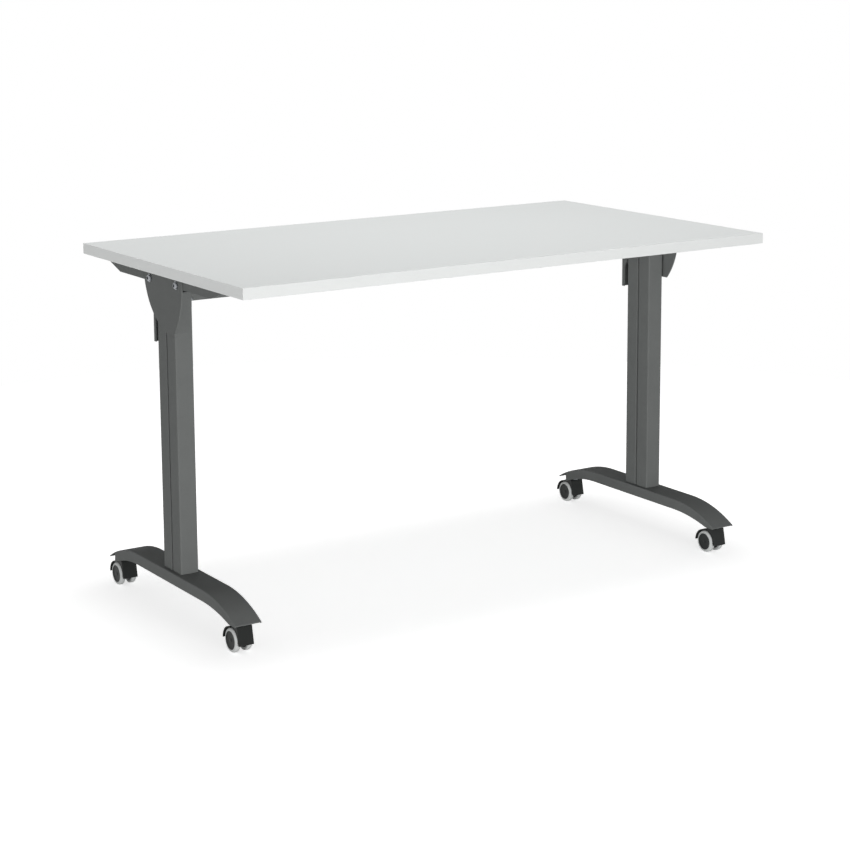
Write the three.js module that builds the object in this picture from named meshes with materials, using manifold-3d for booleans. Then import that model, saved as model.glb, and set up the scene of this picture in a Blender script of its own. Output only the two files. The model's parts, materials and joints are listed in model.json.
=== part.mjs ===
// Flip top training table: a laminate top on two T legs with twin-wheel casters.
// Millimetres, +Z up, X along the table, the front edge towards -Y, origin on the floor below the middle.

import * as THREE from "three";
import { mergeVertices } from "three/addons/utils/BufferGeometryUtils.js";
import Module from "manifold-3d";

const wasm = await Module();
wasm.setup();

// Table top
const TOP_LENGTH = 1300;
const TOP_DEPTH = 730;
const TOP_THICKNESS = 23;
const TABLE_HEIGHT = 750;
const UNDERSIDE = TABLE_HEIGHT - TOP_THICKNESS;
const BAND_THICKNESS = 2;
const BAND_ARRIS = 1;
const BAND_ARC_STEPS = 1;
const GLUE_LINE = 0.1;

// Small gap kept between neighbouring pieces, and how far a cutter reaches past what it cuts
const GAP = 0.3;
const OVERCUT = 1;

// Sides of round pieces, by size
const ROUND = 16;
const SMALL_ROUND = 12;
const SCREW_ROUND = 8;

// Legs: in the leg's own frame X points outwards, away from the middle of the table
const LEG_X = 614;
const COLUMN_WIDTH = 40;
const COLUMN_DEPTH = 80;
const COLUMN_WALL = 2.5;
const COLUMN_CORNER = 3;
const COLUMN_TOP = 694;
const GROOVE_WIDTH = 5;
const GROOVE_DEPTH = 4;
const GROOVE_CHAMFER = 1;
const CAP_THICKNESS = 3;
const CAP_PLUG_DEPTH = 2;

// Feet
const FOOT_WIDTH = 60;
const FOOT_TOP = 105;
const FOOT_SIDE_HEIGHT = 23;
const FOOT_SHEET = 3.5;
const FOOT_FLAT_HALF = 150;
const FOOT_WALL_FRONT = 284;
const FOOT_WALL_REAR = 265;
const FOOT_TIP_HALF = 292;
const FOOT_ARCH_RADIUS = 283;
const FOOT_HEM_RADIUS = 262;
const FOOT_EDGE = 1;
const FOOT_ARC_STEPS = 4;

// Cross beam between the legs
const BEAM_DEPTH = 40;
const BEAM_HEIGHT = 20;
const BEAM_WALL = 2;
const BEAM_BELOW_FLANGE = 3;
const BEAM_ARC_STEPS = 2;
const BEAM_TOP = COLUMN_TOP - BEAM_BELOW_FLANGE;
const BEAM_FLANGE = { thickness: 4, halfDepth: 30, bottom: 660, top: COLUMN_TOP };

// Flip pivot, shared by both legs
const PIVOT_Y = -15;
const PIVOT_Z = 682;
const SHAFT_RADIUS = 6;
const BUSH_RADIUS = 9;
const BUSH_FLANGE_RADIUS = 12;

// Angle rails under the top
const RAIL_CLEARANCE = 0.6;
const RAIL_INSIDE = COLUMN_WIDTH / 2 + RAIL_CLEARANCE;
const RAIL_SHEET = 3;
const RAIL_HEIGHT = 20;
const RAIL_FLANGE_WIDTH = 38;
const RAIL_HALF_TOP = 258;
const RAIL_HALF_BOTTOM = 206;
const RAIL_BEND = 4;
const RAIL_TOP = UNDERSIDE - GAP;
const RAIL_OUTSIDE = RAIL_INSIDE + RAIL_SHEET;
const RAIL_SCREWS_Y = [-230, -110, 110, 230];
const RAIL_SCREW_HOLE = 2.6;

// Shield-shaped pivot plates
const PLATE_SHEET = 3;
const PLATE_INSIDE = RAIL_OUTSIDE + GAP;
const PLATE_OUTSIDE = PLATE_INSIDE + PLATE_SHEET;
const PLATE_TOP = 724;
const PLATE_BOTTOM = 610;
const PLATE_FRONT = 88;
const PLATE_REAR = 82;
const PLATE_CURVE_START = 712;
const PLATE_ARC_STEPS = 6;
const PLATE_CORNER = 5;
const PLATE_EDGE = 0.5;
const PLATE_BOLTS = { front: -65, rear: 55 };
const PLATE_BOLT_Z = 714;
const BOLT_RADIUS = 4;
const BOLT_HEAD = { radius: 7.2, height: 4.2, rim: 1.2, shoulder: 5.9, shoulderDrop: 1, crown: 3.6 };
const BOLT_SOCKET = { radius: 2.6, depth: 2.4, sides: 6 };
const WASHER = { radius: 8.6, thickness: 1.4 };

// Stop buffers under the rails
const BUFFER_RADIUS = 7;
const BUFFER_CHAMFER = 1.5;
const BUFFER_Y = -45;

// Latch: lock stud on the plate, bracket and lever behind the column
const STUD_Y = 50;
const STUD_Z = 698;
const STUD_RADIUS = 4;
const STUD_END = 1;
const LEVER_PIN = { y: 54, z: 660, radius: 3, headRadius: 4.6, headThickness: 1.5 };
const LEVER_SHEET = 2.5;
const LEVER_HALF_WIDTH = 16;
const LEVER_REAR = 66;
const LEVER_BOTTOM = 579;
const LEVER_GRIP_DEPTH = 8.5;
const LEVER_WEB_ABOVE_PIN = 22;
const LEVER_EYE = { front: 7.5, above: 14, below: 18, taper: 33 };
const HOOK = { play: 0.6, throatPlay: 0.8, overlap: 2.5, depth: 5.4, lead: 1, leadLength: 1.5 };
const BRACKET_HALF_WIDTH = 10.8;
const BRACKET_SHEET = 2.5;
const BRACKET_BELOW_COLUMN_TOP = 2;
const EAR = { belowPin: 15, toe: 4, stopAbovePin: 2, stopPlay: 0.6 };
const EAR_ARC_STEPS = 3;
const CRADLE_LIP = THREE.MathUtils.degToRad(20);
const SPRING = { z: 634, coilRadius: 4.4, wireRadius: 0.7, turns: 5, stepsPerTurn: 8, sides: 5 };

// Casters: each hood leads to the front, its wheels trail behind the stem
const STEM_Y = 267;
const CASTER_TRAIL = 17;
const WHEEL_RADIUS = 25;
const WHEEL_INNER_FACE = 7.8;
const WHEEL_OUTER_FACE = 19.5;
const WHEEL_SEGMENTS = 20;
const TYRE_BORE = 19.3;
const TYRE = { setBack: 0.4, innerShoulder: 2, outerShoulder: 2.4, outerRun: 3.8, outerSetBack: 0.8 };
const HUB_RADIUS = 19;
const HUB_RIM = { chamfer: 0.3, top: 1.4, foot: 3, dish: 1.2 };
const AXLE_RADIUS = 3;
const AXLE_HALF = 16.5;
const HOOD_INNER = 26.6;
const HOOD_OUTER = 29;
const HOOD_HALF_WIDTH = 17;
const HOOD_CROWN = { half: 8.5, top: 58 };
const HOOD_TOE = { y: -16, z: 20, thickness: 2.4 };
const HOOD_WEB_HALF = 6.8;
const HOOD_WEB_REAR = THREE.MathUtils.degToRad(36);
const HOOD_WEB_FRONT = THREE.MathUtils.degToRad(164);
const HOOD_AXLE_BOSS = 7;
const HOOD_EDGE = 0.8;
const HOOD_ARC_STEPS = 8;
const WEB_ARC_STEPS = 5;
const STEM = { pin: 4, pinPlay: 0.4, pinBottom: 33, flange: 9, thread: 5, top: 71.5 };
const SOCKET = { radius: 10, bottom: 61, boreTop: 72 };

const steelPaint = new THREE.MeshStandardMaterial({ color: 0x646665, roughness: 0.55, metalness: 0.2 });
const laminate = new THREE.MeshStandardMaterial({ color: 0xd9dcdb, roughness: 0.5, metalness: 0 });
const edgeBand = new THREE.MeshStandardMaterial({ color: 0xdcdedd, roughness: 0.45, metalness: 0 });
const brightSteel = new THREE.MeshStandardMaterial({ color: 0xc4c6c8, roughness: 0.3, metalness: 1 });
const springSteel = new THREE.MeshStandardMaterial({ color: 0x9a9c9e, roughness: 0.35, metalness: 1 });
const blackPlastic = new THREE.MeshStandardMaterial({ color: 0x3e403f, roughness: 0.5, metalness: 0 });
const bushPlastic = new THREE.MeshStandardMaterial({ color: 0x2c2d2d, roughness: 0.45, metalness: 0 });
const tyreRubber = new THREE.MeshStandardMaterial({ color: 0xaaacab, roughness: 0.7, metalness: 0 });
const bufferRubber = new THREE.MeshStandardMaterial({ color: 0x262727, roughness: 0.85, metalness: 0 });

// A closed mesh with shared corners, no empty triangles, and every face pointing outwards
function closedMesh(geometry) {
  const bare = geometry.clone();
  bare.deleteAttribute("normal");
  bare.deleteAttribute("uv");
  const merged = mergeVertices(bare, 1e-4);
  const corner = merged.attributes.position;
  const index = merged.index.array;
  const triangles = [];
  const points = [new THREE.Vector3(), new THREE.Vector3(), new THREE.Vector3()];
  let volume = 0;
  for (let i = 0; i < index.length; i += 3) {
    const [a, b, c] = [index[i], index[i + 1], index[i + 2]];
    if (a === b || b === c || c === a) continue;
    triangles.push(a, b, c);
    [a, b, c].forEach((vertex, k) => points[k].fromBufferAttribute(corner, vertex));
    volume += points[0].dot(points[1].cross(points[2]));
  }
  if (volume < 0) {
    for (let i = 0; i < triangles.length; i += 3) {
      [triangles[i + 1], triangles[i + 2]] = [triangles[i + 2], triangles[i + 1]];
    }
  }
  const mesh = new THREE.BufferGeometry();
  mesh.setAttribute("position", new THREE.BufferAttribute(new Float32Array(corner.array), 3));
  mesh.setIndex(triangles);
  return mesh;
}

function solid(geometry) {
  const mesh = closedMesh(geometry);
  return new wasm.Manifold(new wasm.Mesh({
    numProp: 3,
    vertProperties: mesh.attributes.position.array,
    triVerts: new Uint32Array(mesh.index.array),
  }));
}

function meshOf(manifold) {
  const { vertProperties, triVerts } = manifold.getMesh();
  const geometry = new THREE.BufferGeometry();
  geometry.setAttribute("position", new THREE.BufferAttribute(new Float32Array(vertProperties), 3));
  geometry.setIndex(Array.from(triVerts));
  return geometry;
}

// Joins the first list of shapes into one body and cuts the second list out of it
function carve(shapes, cutters = []) {
  let body = solid(shapes[0]);
  for (const shape of shapes.slice(1)) body = body.add(solid(shape));
  for (const cutter of cutters) body = body.subtract(solid(cutter));
  return meshOf(body);
}

// A shape drawn in Y and Z, drawn out along X between two places
function alongX(shape, start, end, curveSegments = 6, bevel = 0) {
  const geometry = new THREE.ExtrudeGeometry(shape, {
    depth: end - start - 2 * bevel,
    curveSegments,
    bevelEnabled: bevel > 0,
    bevelThickness: bevel,
    bevelSize: bevel,
    bevelOffset: -bevel,
    bevelSegments: 1,
  });
  const toX = new THREE.Matrix4().set(0, 0, 1, start + bevel, 1, 0, 0, 0, 0, 1, 0, 0, 0, 0, 0, 1);
  return geometry.applyMatrix4(toX);
}

// A shape drawn in X and Z, drawn out along Y, centred on the front-to-back middle
function alongY(shape, length, curveSegments = 3) {
  const geometry = new THREE.ExtrudeGeometry(shape, { depth: length, curveSegments, bevelEnabled: false });
  return geometry.rotateX(Math.PI / 2).translate(0, length / 2, 0);
}

function alongZ(shape, bottom, top, curveSegments = 2) {
  const depth = top - bottom;
  const geometry = new THREE.ExtrudeGeometry(shape, { depth, curveSegments, bevelEnabled: false });
  return geometry.translate(0, 0, bottom);
}

function box(x, y, z) {
  const geometry = new THREE.BoxGeometry(x[1] - x[0], y[1] - y[0], z[1] - z[0]);
  return geometry.translate((x[0] + x[1]) / 2, (y[0] + y[1]) / 2, (z[0] + z[1]) / 2);
}

function rodX(radius, start, end, y, z, segments = ROUND) {
  const geometry = new THREE.CylinderGeometry(radius, radius, end - start, segments);
  return geometry.rotateZ(-Math.PI / 2).translate((start + end) / 2, y, z);
}

function rodZ(radius, bottom, top, y, segments = ROUND) {
  const geometry = new THREE.CylinderGeometry(radius, radius, top - bottom, segments);
  return geometry.rotateX(Math.PI / 2).translate(0, y, (bottom + top) / 2);
}

// A turned piece: its profile is a list of [radius, place along the axis]
function turned(profile, segments, axis) {
  const halfStep = Math.PI / segments;
  const points = profile.map(([radius, along]) => new THREE.Vector2(radius, along));
  const geometry = new THREE.LatheGeometry(points, segments, halfStep);
  return axis === "x" ? geometry.rotateZ(-Math.PI / 2) : geometry.rotateX(Math.PI / 2);
}

function polygon(points) {
  return new THREE.Shape(points.map(([x, y]) => new THREE.Vector2(x, y)));
}

function roundedRectangle(halfX, halfY, radius) {
  const shape = new THREE.Shape();
  shape.absarc(halfX - radius, halfY - radius, radius, 0, Math.PI / 2);
  shape.absarc(-halfX + radius, halfY - radius, radius, Math.PI / 2, Math.PI);
  shape.absarc(-halfX + radius, -halfY + radius, radius, Math.PI, 1.5 * Math.PI);
  shape.absarc(halfX - radius, -halfY + radius, radius, 1.5 * Math.PI, 2 * Math.PI);
  return shape;
}

function addPiece(group, name, geometry, material) {
  const mesh = new THREE.Mesh(closedMesh(geometry), material);
  mesh.name = name;
  group.add(mesh);
  return mesh;
}

// The board and its edge bands, which lie flush with both faces
function edgeBandShape() {
  const half = TOP_THICKNESS / 2;
  const shape = new THREE.Shape();
  shape.moveTo(0, -half);
  shape.lineTo(0, half);
  shape.absarc(-BAND_THICKNESS + BAND_ARRIS, half - BAND_ARRIS, BAND_ARRIS, Math.PI / 2, Math.PI);
  shape.absarc(-BAND_THICKNESS + BAND_ARRIS, -half + BAND_ARRIS, BAND_ARRIS, Math.PI, 1.5 * Math.PI);
  return shape;
}

function addTop(table) {
  const middle = TABLE_HEIGHT - TOP_THICKNESS / 2;
  const coreHalfX = TOP_LENGTH / 2 - BAND_THICKNESS;
  const coreHalfY = TOP_DEPTH / 2 - BAND_THICKNESS;
  const boardHalf = { x: coreHalfX - GLUE_LINE, y: coreHalfY - GLUE_LINE };
  const board = box([-boardHalf.x, boardHalf.x], [-boardHalf.y, boardHalf.y], [UNDERSIDE, TABLE_HEIGHT]);
  addPiece(table, "table_top", board, laminate);
  const bands = [
    { side: "front", length: TOP_LENGTH, turn: 0, reach: coreHalfY },
    { side: "right", length: 2 * boardHalf.y, turn: Math.PI / 2, reach: coreHalfX },
    { side: "rear", length: TOP_LENGTH, turn: Math.PI, reach: coreHalfY },
    { side: "left", length: 2 * boardHalf.y, turn: -Math.PI / 2, reach: coreHalfX },
  ];
  for (const { side, length, turn, reach } of bands) {
    const strip = alongX(edgeBandShape(), -length / 2, length / 2, BAND_ARC_STEPS);
    const mesh = addPiece(table, `edge_band_${side}`, strip, edgeBand);
    mesh.rotation.z = turn;
    mesh.position.set(reach * Math.sin(turn), -reach * Math.cos(turn), middle);
  }
}

// Hole through a sheet for one of the bolts that join rail and plate
function boltHole(start, end, y) {
  return rodX(BOLT_RADIUS + GAP, start - OVERCUT, end + OVERCUT, y, PLATE_BOLT_Z, SMALL_ROUND);
}

// Bent steel angle: one flange lies under the board, the other hangs outside the column
function rail() {
  const bottom = RAIL_TOP - RAIL_HEIGHT;
  const underFlange = RAIL_TOP - RAIL_SHEET;
  const inner = RAIL_OUTSIDE - RAIL_FLANGE_WIDTH;
  const section = new THREE.Shape();
  section.moveTo(inner, underFlange);
  section.lineTo(RAIL_INSIDE, underFlange);
  section.lineTo(RAIL_INSIDE, bottom);
  section.lineTo(RAIL_OUTSIDE, bottom);
  section.absarc(RAIL_OUTSIDE - RAIL_BEND, RAIL_TOP - RAIL_BEND, RAIL_BEND, 0, Math.PI / 2);
  section.lineTo(inner, RAIL_TOP);
  const cutters = [];
  for (const end of [-1, 1]) {
    const taper = polygon([
      [end * RAIL_HALF_BOTTOM, bottom - OVERCUT],
      [end * RAIL_HALF_BOTTOM, bottom],
      [end * RAIL_HALF_TOP, underFlange],
      [end * (RAIL_HALF_TOP + OVERCUT), underFlange],
      [end * (RAIL_HALF_TOP + OVERCUT), bottom - OVERCUT],
    ]);
    cutters.push(alongX(taper, RAIL_INSIDE - OVERCUT, RAIL_OUTSIDE + OVERCUT));
  }
  for (const y of Object.values(PLATE_BOLTS)) cutters.push(boltHole(RAIL_INSIDE, RAIL_OUTSIDE, y));
  for (const y of RAIL_SCREWS_Y) {
    cutters.push(rodZ(RAIL_SCREW_HOLE, underFlange - OVERCUT, RAIL_TOP + OVERCUT, y, SCREW_ROUND));
  }
  return carve([alongY(section, 2 * RAIL_HALF_TOP)], cutters);
}

// Shield outline: at the rear a quarter circle that leaves the lever in reach, at the front a wider arc that
// ends at the column's corner
function plateShape() {
  const drop = PLATE_CURVE_START - PLATE_BOTTOM;
  const narrowing = PLATE_FRONT - COLUMN_DEPTH / 2;
  const frontRadius = (narrowing ** 2 + drop ** 2) / (2 * narrowing);
  const frontSweep = Math.asin(drop / frontRadius);
  const cornerZ = PLATE_TOP - PLATE_CORNER;
  const shape = new THREE.Shape();
  shape.absarc(PLATE_REAR - drop, PLATE_CURVE_START, drop, -Math.PI / 2, 0);
  shape.absarc(PLATE_REAR - PLATE_CORNER, cornerZ, PLATE_CORNER, 0, Math.PI / 2);
  shape.absarc(PLATE_CORNER - PLATE_FRONT, cornerZ, PLATE_CORNER, Math.PI / 2, Math.PI);
  shape.absarc(frontRadius - PLATE_FRONT, PLATE_CURVE_START, frontRadius, Math.PI, Math.PI + frontSweep);
  return shape;
}

// Pivot plate with its pivot shaft and lock stud welded on
function pivotPlate() {
  const weld = PLATE_INSIDE + PLATE_SHEET / 2;
  const sheet = alongX(plateShape(), PLATE_INSIDE, PLATE_OUTSIDE, PLATE_ARC_STEPS, PLATE_EDGE);
  const shaft = rodX(SHAFT_RADIUS, -COLUMN_WIDTH / 2 + COLUMN_WALL, weld, PIVOT_Y, PIVOT_Z);
  const stud = rodX(STUD_RADIUS, -LEVER_HALF_WIDTH - STUD_END, weld, STUD_Y, STUD_Z, SMALL_ROUND);
  const boltHoles = Object.values(PLATE_BOLTS).map((y) => boltHole(PLATE_INSIDE, PLATE_OUTSIDE, y));
  return carve([sheet, shaft, stud], boltHoles);
}

// Round-headed bolt on its washer, with a hexagon socket
function plateBolt() {
  const seat = PLATE_OUTSIDE + GAP;
  const underHead = seat + WASHER.thickness;
  const crown = underHead + BOLT_HEAD.height;
  const profile = [
    [0, RAIL_INSIDE + GAP],
    [BOLT_RADIUS, RAIL_INSIDE + GAP],
    [BOLT_RADIUS, seat],
    [WASHER.radius, seat],
    [WASHER.radius, underHead],
    [BOLT_HEAD.radius, underHead],
    [BOLT_HEAD.radius, underHead + BOLT_HEAD.rim],
    [BOLT_HEAD.shoulder, crown - BOLT_HEAD.shoulderDrop],
    [BOLT_HEAD.crown, crown],
    [0, crown],
  ];
  const { radius, depth, sides } = BOLT_SOCKET;
  const socket = rodX(radius, crown - depth, crown + OVERCUT, 0, 0, sides);
  return carve([turned(profile, SMALL_ROUND, "x")], [socket]);
}

function stopBuffer() {
  const top = RAIL_TOP - RAIL_SHEET - GAP;
  const reachUpright = PIVOT_Y - (top - PIVOT_Z);
  const length = -COLUMN_DEPTH / 2 - GAP - reachUpright;
  const profile = [
    [0, top - length],
    [BUFFER_RADIUS - BUFFER_CHAMFER, top - length],
    [BUFFER_RADIUS, top - length + BUFFER_CHAMFER],
    [BUFFER_RADIUS, top],
    [0, top],
  ];
  return turned(profile, ROUND, "z").translate(0, BUFFER_Y, 0);
}

// Extruded column: a rounded tube with a groove down the middle of its outer and inner faces
function columnSection() {
  const halfX = COLUMN_WIDTH / 2;
  const halfY = COLUMN_DEPTH / 2;
  const mouth = GROOVE_WIDTH / 2 + GROOVE_CHAMFER;
  const corner = COLUMN_CORNER;
  const shape = new THREE.Shape();
  shape.moveTo(halfX, -mouth);
  for (const end of [1, -1]) {
    const turn = end > 0 ? 0 : Math.PI;
    if (end < 0) shape.lineTo(-halfX, mouth);
    shape.lineTo(end * (halfX - GROOVE_CHAMFER), -end * GROOVE_WIDTH / 2);
    shape.lineTo(end * (halfX - GROOVE_DEPTH), -end * GROOVE_WIDTH / 2);
    shape.lineTo(end * (halfX - GROOVE_DEPTH), end * GROOVE_WIDTH / 2);
    shape.lineTo(end * (halfX - GROOVE_CHAMFER), end * GROOVE_WIDTH / 2);
    shape.lineTo(end * halfX, end * mouth);
    shape.absarc(end * (halfX - corner), end * (halfY - corner), corner, turn, turn + Math.PI / 2);
    shape.absarc(-end * (halfX - corner), end * (halfY - corner), corner, turn + Math.PI / 2, turn + Math.PI);
  }
  return shape;
}

function columnBore() {
  const halfX = COLUMN_WIDTH / 2 - COLUMN_WALL;
  const halfY = COLUMN_DEPTH / 2 - COLUMN_WALL;
  const ribX = halfX - GROOVE_DEPTH;
  const ribY = GROOVE_WIDTH / 2 + COLUMN_WALL;
  return polygon([
    [halfX, ribY], [halfX, halfY], [-halfX, halfY], [-halfX, ribY], [-ribX, ribY], [-ribX, -ribY],
    [-halfX, -ribY], [-halfX, -halfY], [halfX, -halfY], [halfX, -ribY], [ribX, -ribY], [ribX, ribY],
  ]);
}

function column() {
  const bottom = FOOT_TOP + GAP;
  const tube = alongZ(columnSection(), bottom, COLUMN_TOP);
  const bore = alongZ(columnBore(), bottom - OVERCUT, COLUMN_TOP + OVERCUT);
  const bushHole = rodX(BUSH_RADIUS + GAP, -COLUMN_WIDTH, COLUMN_WIDTH, PIVOT_Y, PIVOT_Z);
  return carve([tube], [bore, bushHole]);
}

function columnCap() {
  const lid = roundedRectangle(COLUMN_WIDTH / 2, COLUMN_DEPTH / 2, COLUMN_CORNER);
  const underLid = COLUMN_TOP + GAP;
  const plugHalfX = COLUMN_WIDTH / 2 - COLUMN_WALL - GROOVE_DEPTH - GAP;
  const plugHalfY = COLUMN_DEPTH / 2 - COLUMN_WALL - GAP;
  const plugHeight = [COLUMN_TOP - CAP_PLUG_DEPTH, underLid + CAP_THICKNESS / 2];
  const plug = box([-plugHalfX, plugHalfX], [-plugHalfY, plugHalfY], plugHeight);
  return carve([alongZ(lid, underLid, COLUMN_TOP + CAP_THICKNESS), plug]);
}

// Flanged plastic bush: the flange keeps the plate off the column
function pivotBush() {
  const face = COLUMN_WIDTH / 2 + GAP;
  const bore = SHAFT_RADIUS + GAP;
  const profile = [
    [bore, -COLUMN_WIDTH / 2 + GAP],
    [BUSH_RADIUS, -COLUMN_WIDTH / 2 + GAP],
    [BUSH_RADIUS, face],
    [BUSH_FLANGE_RADIUS, face],
    [BUSH_FLANGE_RADIUS, PLATE_INSIDE - GAP],
    [bore, PLATE_INSIDE - GAP],
    [bore, -COLUMN_WIDTH / 2 + GAP],
  ];
  return turned(profile, ROUND, "x").translate(0, PIVOT_Y, PIVOT_Z);
}

const archCentreZ = FOOT_TOP - FOOT_ARCH_RADIUS;

function archAngle(halfLength, radius) {
  return Math.acos((halfLength - FOOT_FLAT_HALF) / radius);
}

// Side view of the foot: level in the middle, arched down to thin tips that overhang the side walls. In front
// the walls run on, level along their hem, almost to the tip.
function footShape() {
  const outer = FOOT_ARCH_RADIUS;
  const inner = FOOT_ARCH_RADIUS - FOOT_SHEET;
  const hem = FOOT_HEM_RADIUS;
  const hemCentreZ = FOOT_TOP - FOOT_SIDE_HEIGHT - hem;
  const hemEnd = archAngle(FOOT_WALL_REAR, hem);
  const hemLow = hemCentreZ + hem * Math.sin(hemEnd);
  const tip = archAngle(FOOT_TIP_HALF, outer);
  const rearWallTop = archAngle(FOOT_WALL_REAR, inner);
  const frontWallTop = archAngle(FOOT_WALL_FRONT, inner);
  const shape = new THREE.Shape();
  shape.moveTo(-FOOT_FLAT_HALF, FOOT_TOP - FOOT_SIDE_HEIGHT);
  shape.absarc(FOOT_FLAT_HALF, hemCentreZ, hem, Math.PI / 2, hemEnd, true);
  shape.absarc(FOOT_FLAT_HALF, archCentreZ, inner, rearWallTop, tip, true);
  shape.absarc(FOOT_FLAT_HALF, archCentreZ, outer, tip, Math.PI / 2);
  shape.absarc(-FOOT_FLAT_HALF, archCentreZ, outer, Math.PI / 2, Math.PI - tip);
  shape.absarc(-FOOT_FLAT_HALF, archCentreZ, inner, Math.PI - tip, Math.PI - frontWallTop, true);
  shape.lineTo(-FOOT_WALL_FRONT, hemLow);
  shape.absarc(-FOOT_FLAT_HALF, hemCentreZ, hem, Math.PI - hemEnd, Math.PI / 2, true);
  return shape;
}

// Everything below an arch of the given radius, between the given reaches to the front and to the rear
function underArch(radius, front, rear) {
  const shape = new THREE.Shape();
  shape.moveTo(-front, 0);
  shape.lineTo(rear, 0);
  shape.absarc(FOOT_FLAT_HALF, archCentreZ, radius, archAngle(rear, radius), Math.PI / 2);
  shape.absarc(-FOOT_FLAT_HALF, archCentreZ, radius, Math.PI / 2, Math.PI - archAngle(front, radius));
  return shape;
}

// Pressed steel channel, open below, with a welded socket for each caster stem
function foot() {
  const half = FOOT_WIDTH / 2;
  const inner = FOOT_ARCH_RADIUS - FOOT_SHEET;
  const midSheet = FOOT_ARCH_RADIUS - FOOT_SHEET / 2;
  const pastFrontWall = (FOOT_WALL_FRONT + FOOT_TIP_HALF) / 2;
  const pastRearWall = (FOOT_WALL_REAR + FOOT_TIP_HALF) / 2;
  const wallIn = half - FOOT_SHEET;
  const channel = solid(alongX(footShape(), -half, half, FOOT_ARC_STEPS, FOOT_EDGE))
    .subtract(solid(alongX(underArch(inner, pastFrontWall, pastRearWall), -wallIn, wallIn, FOOT_ARC_STEPS)));
  const roof = solid(alongX(underArch(midSheet, FOOT_TIP_HALF, FOOT_TIP_HALF), -half, half, FOOT_ARC_STEPS));
  let body = channel;
  for (const end of [-1, 1]) {
    const y = end * STEM_Y;
    const socket = solid(rodZ(SOCKET.radius, SOCKET.bottom, FOOT_TOP, y, SMALL_ROUND)).intersect(roof);
    const bore = solid(rodZ(STEM.thread + GAP, SOCKET.bottom - OVERCUT, SOCKET.boreTop, y, SMALL_ROUND));
    body = body.add(socket).subtract(bore);
  }
  return meshOf(body);
}

// Rectangular tube with an end flange for each column; a hole in each flange opens the tube
function crossBeam() {
  const inFace = LEG_X - COLUMN_WIDTH / 2 - GAP;
  const bottom = BEAM_TOP - BEAM_HEIGHT;
  const middle = (BEAM_TOP + bottom) / 2;
  const halfDepth = BEAM_DEPTH / 2;
  const flangeStart = inFace - BEAM_FLANGE.thickness;
  const outer = roundedRectangle(halfDepth, BEAM_HEIGHT / 2, BEAM_WALL);
  const weldIn = flangeStart + BEAM_FLANGE.thickness / 2;
  const shapes = [alongX(outer, -weldIn, weldIn, BEAM_ARC_STEPS).translate(0, 0, middle)];
  for (const end of [-1, 1]) {
    const x = [end * inFace, end * flangeStart].sort((a, b) => a - b);
    const y = [-BEAM_FLANGE.halfDepth, BEAM_FLANGE.halfDepth];
    shapes.push(box(x, y, [BEAM_FLANGE.bottom, BEAM_FLANGE.top]));
  }
  const bore = box([-flangeStart, flangeStart], [-halfDepth + BEAM_WALL, halfDepth - BEAM_WALL],
    [bottom + BEAM_WALL, BEAM_TOP - BEAM_WALL]);
  const weldHole = rodX(BEAM_HEIGHT / 2 - 2 * BEAM_WALL, -inFace - OVERCUT, inFace + OVERCUT, 0, middle);
  return carve(shapes, [bore, weldHole]);
}

function pinHole() {
  const { radius, y, z } = LEVER_PIN;
  return rodX(radius + GAP, -COLUMN_WIDTH, COLUMN_WIDTH, y, z, SMALL_ROUND);
}

// Bracket behind the column: two ears hold the lever pin, and their tops cradle the lock stud
function leverBracket() {
  const face = COLUMN_DEPTH / 2 + GAP;
  const foldTop = COLUMN_TOP - BRACKET_BELOW_COLUMN_TOP;
  const bottom = LEVER_PIN.z - EAR.belowPin;
  const stopEdge = LEVER_REAR - LEVER_SHEET - EAR.stopPlay;
  const cradle = STUD_RADIUS + GAP;
  const ear = new THREE.Shape();
  ear.moveTo(face, bottom);
  ear.lineTo(LEVER_PIN.y + EAR.toe, bottom);
  ear.lineTo(stopEdge, LEVER_PIN.z + EAR.stopAbovePin);
  ear.lineTo(stopEdge, LEVER_PIN.z + LEVER_WEB_ABOVE_PIN);
  ear.absarc(STUD_Y, STUD_Z, cradle, -CRADLE_LIP, Math.PI + CRADLE_LIP, true);
  ear.lineTo(face, foldTop);
  const width = [-BRACKET_HALF_WIDTH, BRACKET_HALF_WIDTH];
  const shapes = [box(width, [face, face + BRACKET_SHEET], [bottom, foldTop])];
  for (const start of [-BRACKET_HALF_WIDTH, BRACKET_HALF_WIDTH - BRACKET_SHEET]) {
    shapes.push(alongX(ear, start, start + BRACKET_SHEET, EAR_ARC_STEPS));
  }
  return carve(shapes, [pinHole()]);
}

function leverPin() {
  const headIn = LEVER_HALF_WIDTH + GAP;
  const headOut = headIn + LEVER_PIN.headThickness;
  const profile = [
    [0, -headOut],
    [LEVER_PIN.headRadius, -headOut],
    [LEVER_PIN.headRadius, -headIn],
    [LEVER_PIN.radius, -headIn],
    [LEVER_PIN.radius, headIn],
    [LEVER_PIN.headRadius, headIn],
    [LEVER_PIN.headRadius, headOut],
    [0, headOut],
  ];
  return turned(profile, SMALL_ROUND, "x").translate(0, LEVER_PIN.y, LEVER_PIN.z);
}

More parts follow.
